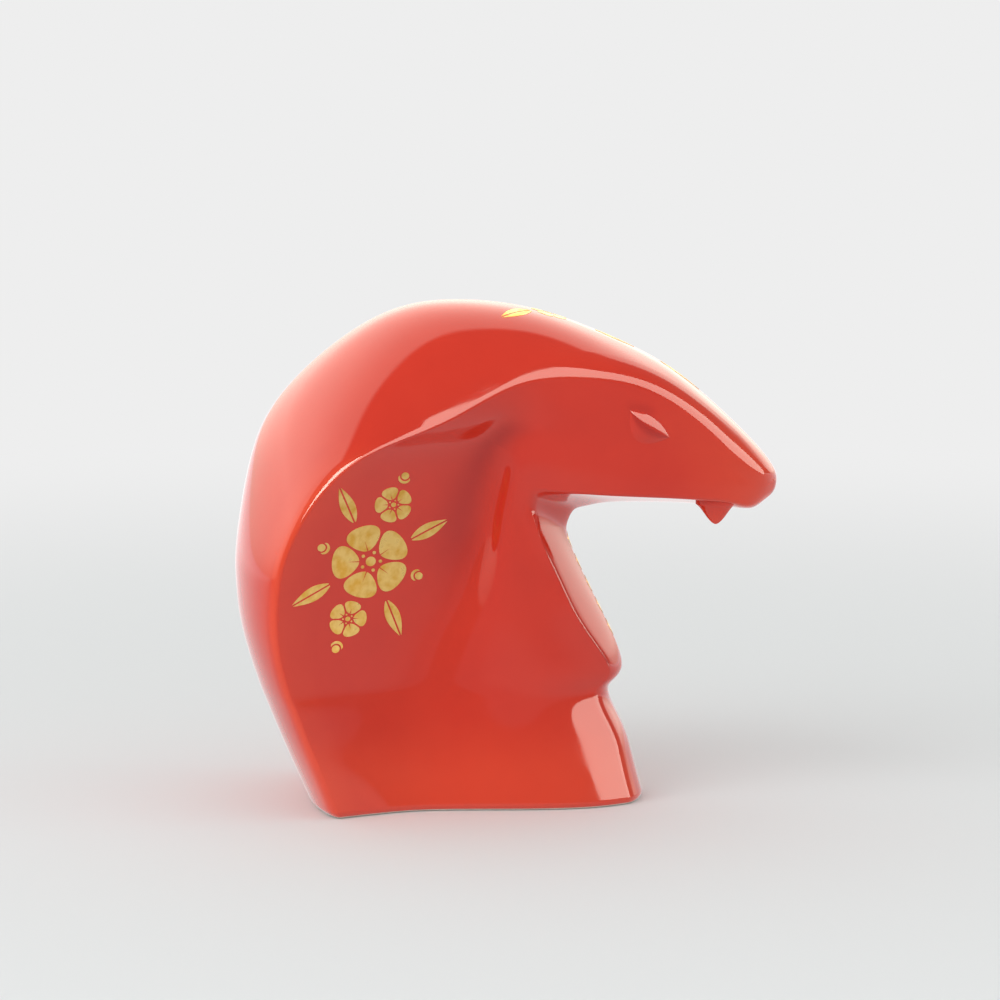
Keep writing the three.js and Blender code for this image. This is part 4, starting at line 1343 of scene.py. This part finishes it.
def wall_share(tree, heading, height):
    """Brightness of the pale wall low behind on the right."""
    back = add_node(tree, "ShaderNodeVectorMath", {0: heading, 1: bearing_of(WALL_BEARING, WALL_HEIGHT)},
                    operation="DOT_PRODUCT").outputs["Value"]
    share = 1.0
    for value, ramp in ((back, WALL_EDGE), (height, WALL_TOP), (height, WALL_FOOT)):
        level = add_node(tree, "ShaderNodeMapRange", {"Value": value, **ramp},
                         interpolation_type="SMOOTHSTEP").outputs["Result"]
        share = add_node(tree, "ShaderNodeMath", {0: share, 1: level}, operation="MULTIPLY").outputs[0]
    return share


def add_world(studio):
    """A room with a bright scrim over its left and far half, a pale wall low behind and dim walls."""
    world = bpy.data.worlds.new("studio_room")
    bpy.context.scene.world = world
    world.use_nodes = True
    tree = world.node_tree
    heading = add_node(tree, "ShaderNodeTexCoord").outputs["Generated"]
    height = add_node(tree, "ShaderNodeSeparateXYZ", {"Vector": heading}).outputs["Z"]
    mirrored = add_node(tree, "ShaderNodeLightPath").outputs["Is Glossy Ray"]
    scrim = scrim_share(tree, heading, height, mirrored)
    wall = wall_share(tree, heading, height)
    glow = add_node(tree, "ShaderNodeMath", {0: scrim, 1: wall}, operation="MAXIMUM")
    dim, bright = (add_node(tree, "ShaderNodeMapRange", {
        "Value": mirrored, "To Min": level, "To Max": level * share}).outputs["Result"]
        for level, share in ((studio.room, studio.gloom), (studio.scrim, studio.sheen)))
    strength = add_node(tree, "ShaderNodeMapRange", {
        "Value": glow.outputs[0], "To Min": dim, "To Max": bright})
    tone = add_node(tree, "ShaderNodeMix", {
        "Factor": mirrored, "A": linear("#FFFFFF"), "B": studio.tint}, data_type="RGBA")
    set_sockets(tree, tree.nodes["Background"], {
        "Color": tone.outputs["Result"],
        "Strength": strength.outputs["Result"],
    })


# Operators, one for each group of like pieces and one for the studio

class FIGURINE_OT_castings(Operator):
    """Make the two hollow castings"""

    bl_idname = "figurine.castings"
    bl_label = "Castings"

    def execute(self, context):
        glaze = red_enamel_glaze(context.scene.figurine_finish)
        make_body(context.scene.figurine_porcelain, glaze)
        make_head(context.scene.figurine_porcelain, glaze)
        return {"FINISHED"}


class FIGURINE_OT_belly_panel(Operator):
    """Lay the belly panel in the body's recess"""

    bl_idname = "figurine.belly_panel"
    bl_label = "Belly panel"

    def execute(self, context):
        make_belly(context.scene.figurine_porcelain, red_enamel_glaze(context.scene.figurine_finish))
        return {"FINISHED"}


class FIGURINE_OT_base_plate(Operator):
    """Close the foot with its plate"""

    bl_idname = "figurine.base_plate"
    bl_label = "Base plate"

    def execute(self, context):
        make_base_plate(context.scene.figurine_porcelain, bare_clay(context.scene.figurine_finish))
        return {"FINISHED"}


class FIGURINE_OT_eyes(Operator):
    """Set the eye beads in the cheeks of the head"""

    bl_idname = "figurine.eyes"
    bl_label = "Eyes"

    def execute(self, context):
        glaze = red_enamel_glaze(context.scene.figurine_finish)
        cheek = surface_of("glazed_head")
        for side in SIDES:
            make_eye(context.scene.figurine_porcelain, side, cheek, glaze)
        return {"FINISHED"}


class FIGURINE_OT_fangs(Operator):
    """Set the fangs in the lip"""

    bl_idname = "figurine.fangs"
    bl_label = "Fangs"

    def execute(self, context):
        glaze = red_enamel_glaze(context.scene.figurine_finish)
        for side in SIDES:
            make_fang(context.scene.figurine_porcelain, side, glaze)
        return {"FINISHED"}


class FIGURINE_OT_gold(Operator):
    """Lay the gold films on the castings and the belly panel"""

    bl_idname = "figurine.gold"
    bl_label = "Gold"

    def execute(self, context):
        make_gold(context.scene.figurine_gold, fired_gold(context.scene.figurine_finish))
        return {"FINISHED"}


class FIGURINE_OT_stage(Operator):
    """Set up the floor, the room, the lamps and the camera"""

    bl_idname = "figurine.stage"
    bl_label = "Studio"

    def execute(self, context):
        studio = context.scene.figurine_studio
        context.scene.view_settings.view_transform = "Standard"
        add_camera(studio)
        add_floor(studio)
        add_world(studio)
        for lamp in LAMPS:
            add_softbox(*lamp).visible_glossy = False
        for *place, roll in PANELS:
            add_panel(studio, *place, roll=roll)
        return {"FINISHED"}


class FIGURINE_PT_sidebar(Panel):
    """The figurine's pieces"""

    bl_idname = "FIGURINE_PT_sidebar"
    bl_label = "Snake Figurine"
    bl_space_type = "VIEW_3D"
    bl_region_type = "UI"
    bl_category = "Figurine"

    def draw(self, context):
        for operator in OPERATORS:
            self.layout.operator(operator.bl_idname)


SETTINGS = {"figurine_porcelain": PorcelainSettings, "figurine_finish": FinishSettings,
            "figurine_gold": GoldSettings, "figurine_studio": StudioSettings}
OPERATORS = (FIGURINE_OT_castings, FIGURINE_OT_belly_panel, FIGURINE_OT_base_plate, FIGURINE_OT_eyes,
             FIGURINE_OT_fangs, FIGURINE_OT_gold, FIGURINE_OT_stage)
CLASSES = (*SETTINGS.values(), *OPERATORS, FIGURINE_PT_sidebar)


def register():
    """Adds the settings, the operators and the sidebar."""
    for cls in CLASSES:
        bpy.utils.register_class(cls)
    for name, group in SETTINGS.items():
        setattr(bpy.types.Scene, name, PointerProperty(type=group))


def unregister():
    """Takes out what register added."""
    for name in SETTINGS:
        delattr(bpy.types.Scene, name)
    for cls in reversed(CLASSES):
        bpy.utils.unregister_class(cls)


def main():
    """Builds the figurine in its studio."""
    register()
    bpy.ops.figurine.castings()
    bpy.ops.figurine.belly_panel()
    bpy.ops.figurine.base_plate()
    bpy.ops.figurine.eyes()
    bpy.ops.figurine.fangs()
    bpy.ops.figurine.gold()
    bpy.ops.figurine.stage()


if __name__ == "__main__":
    main()
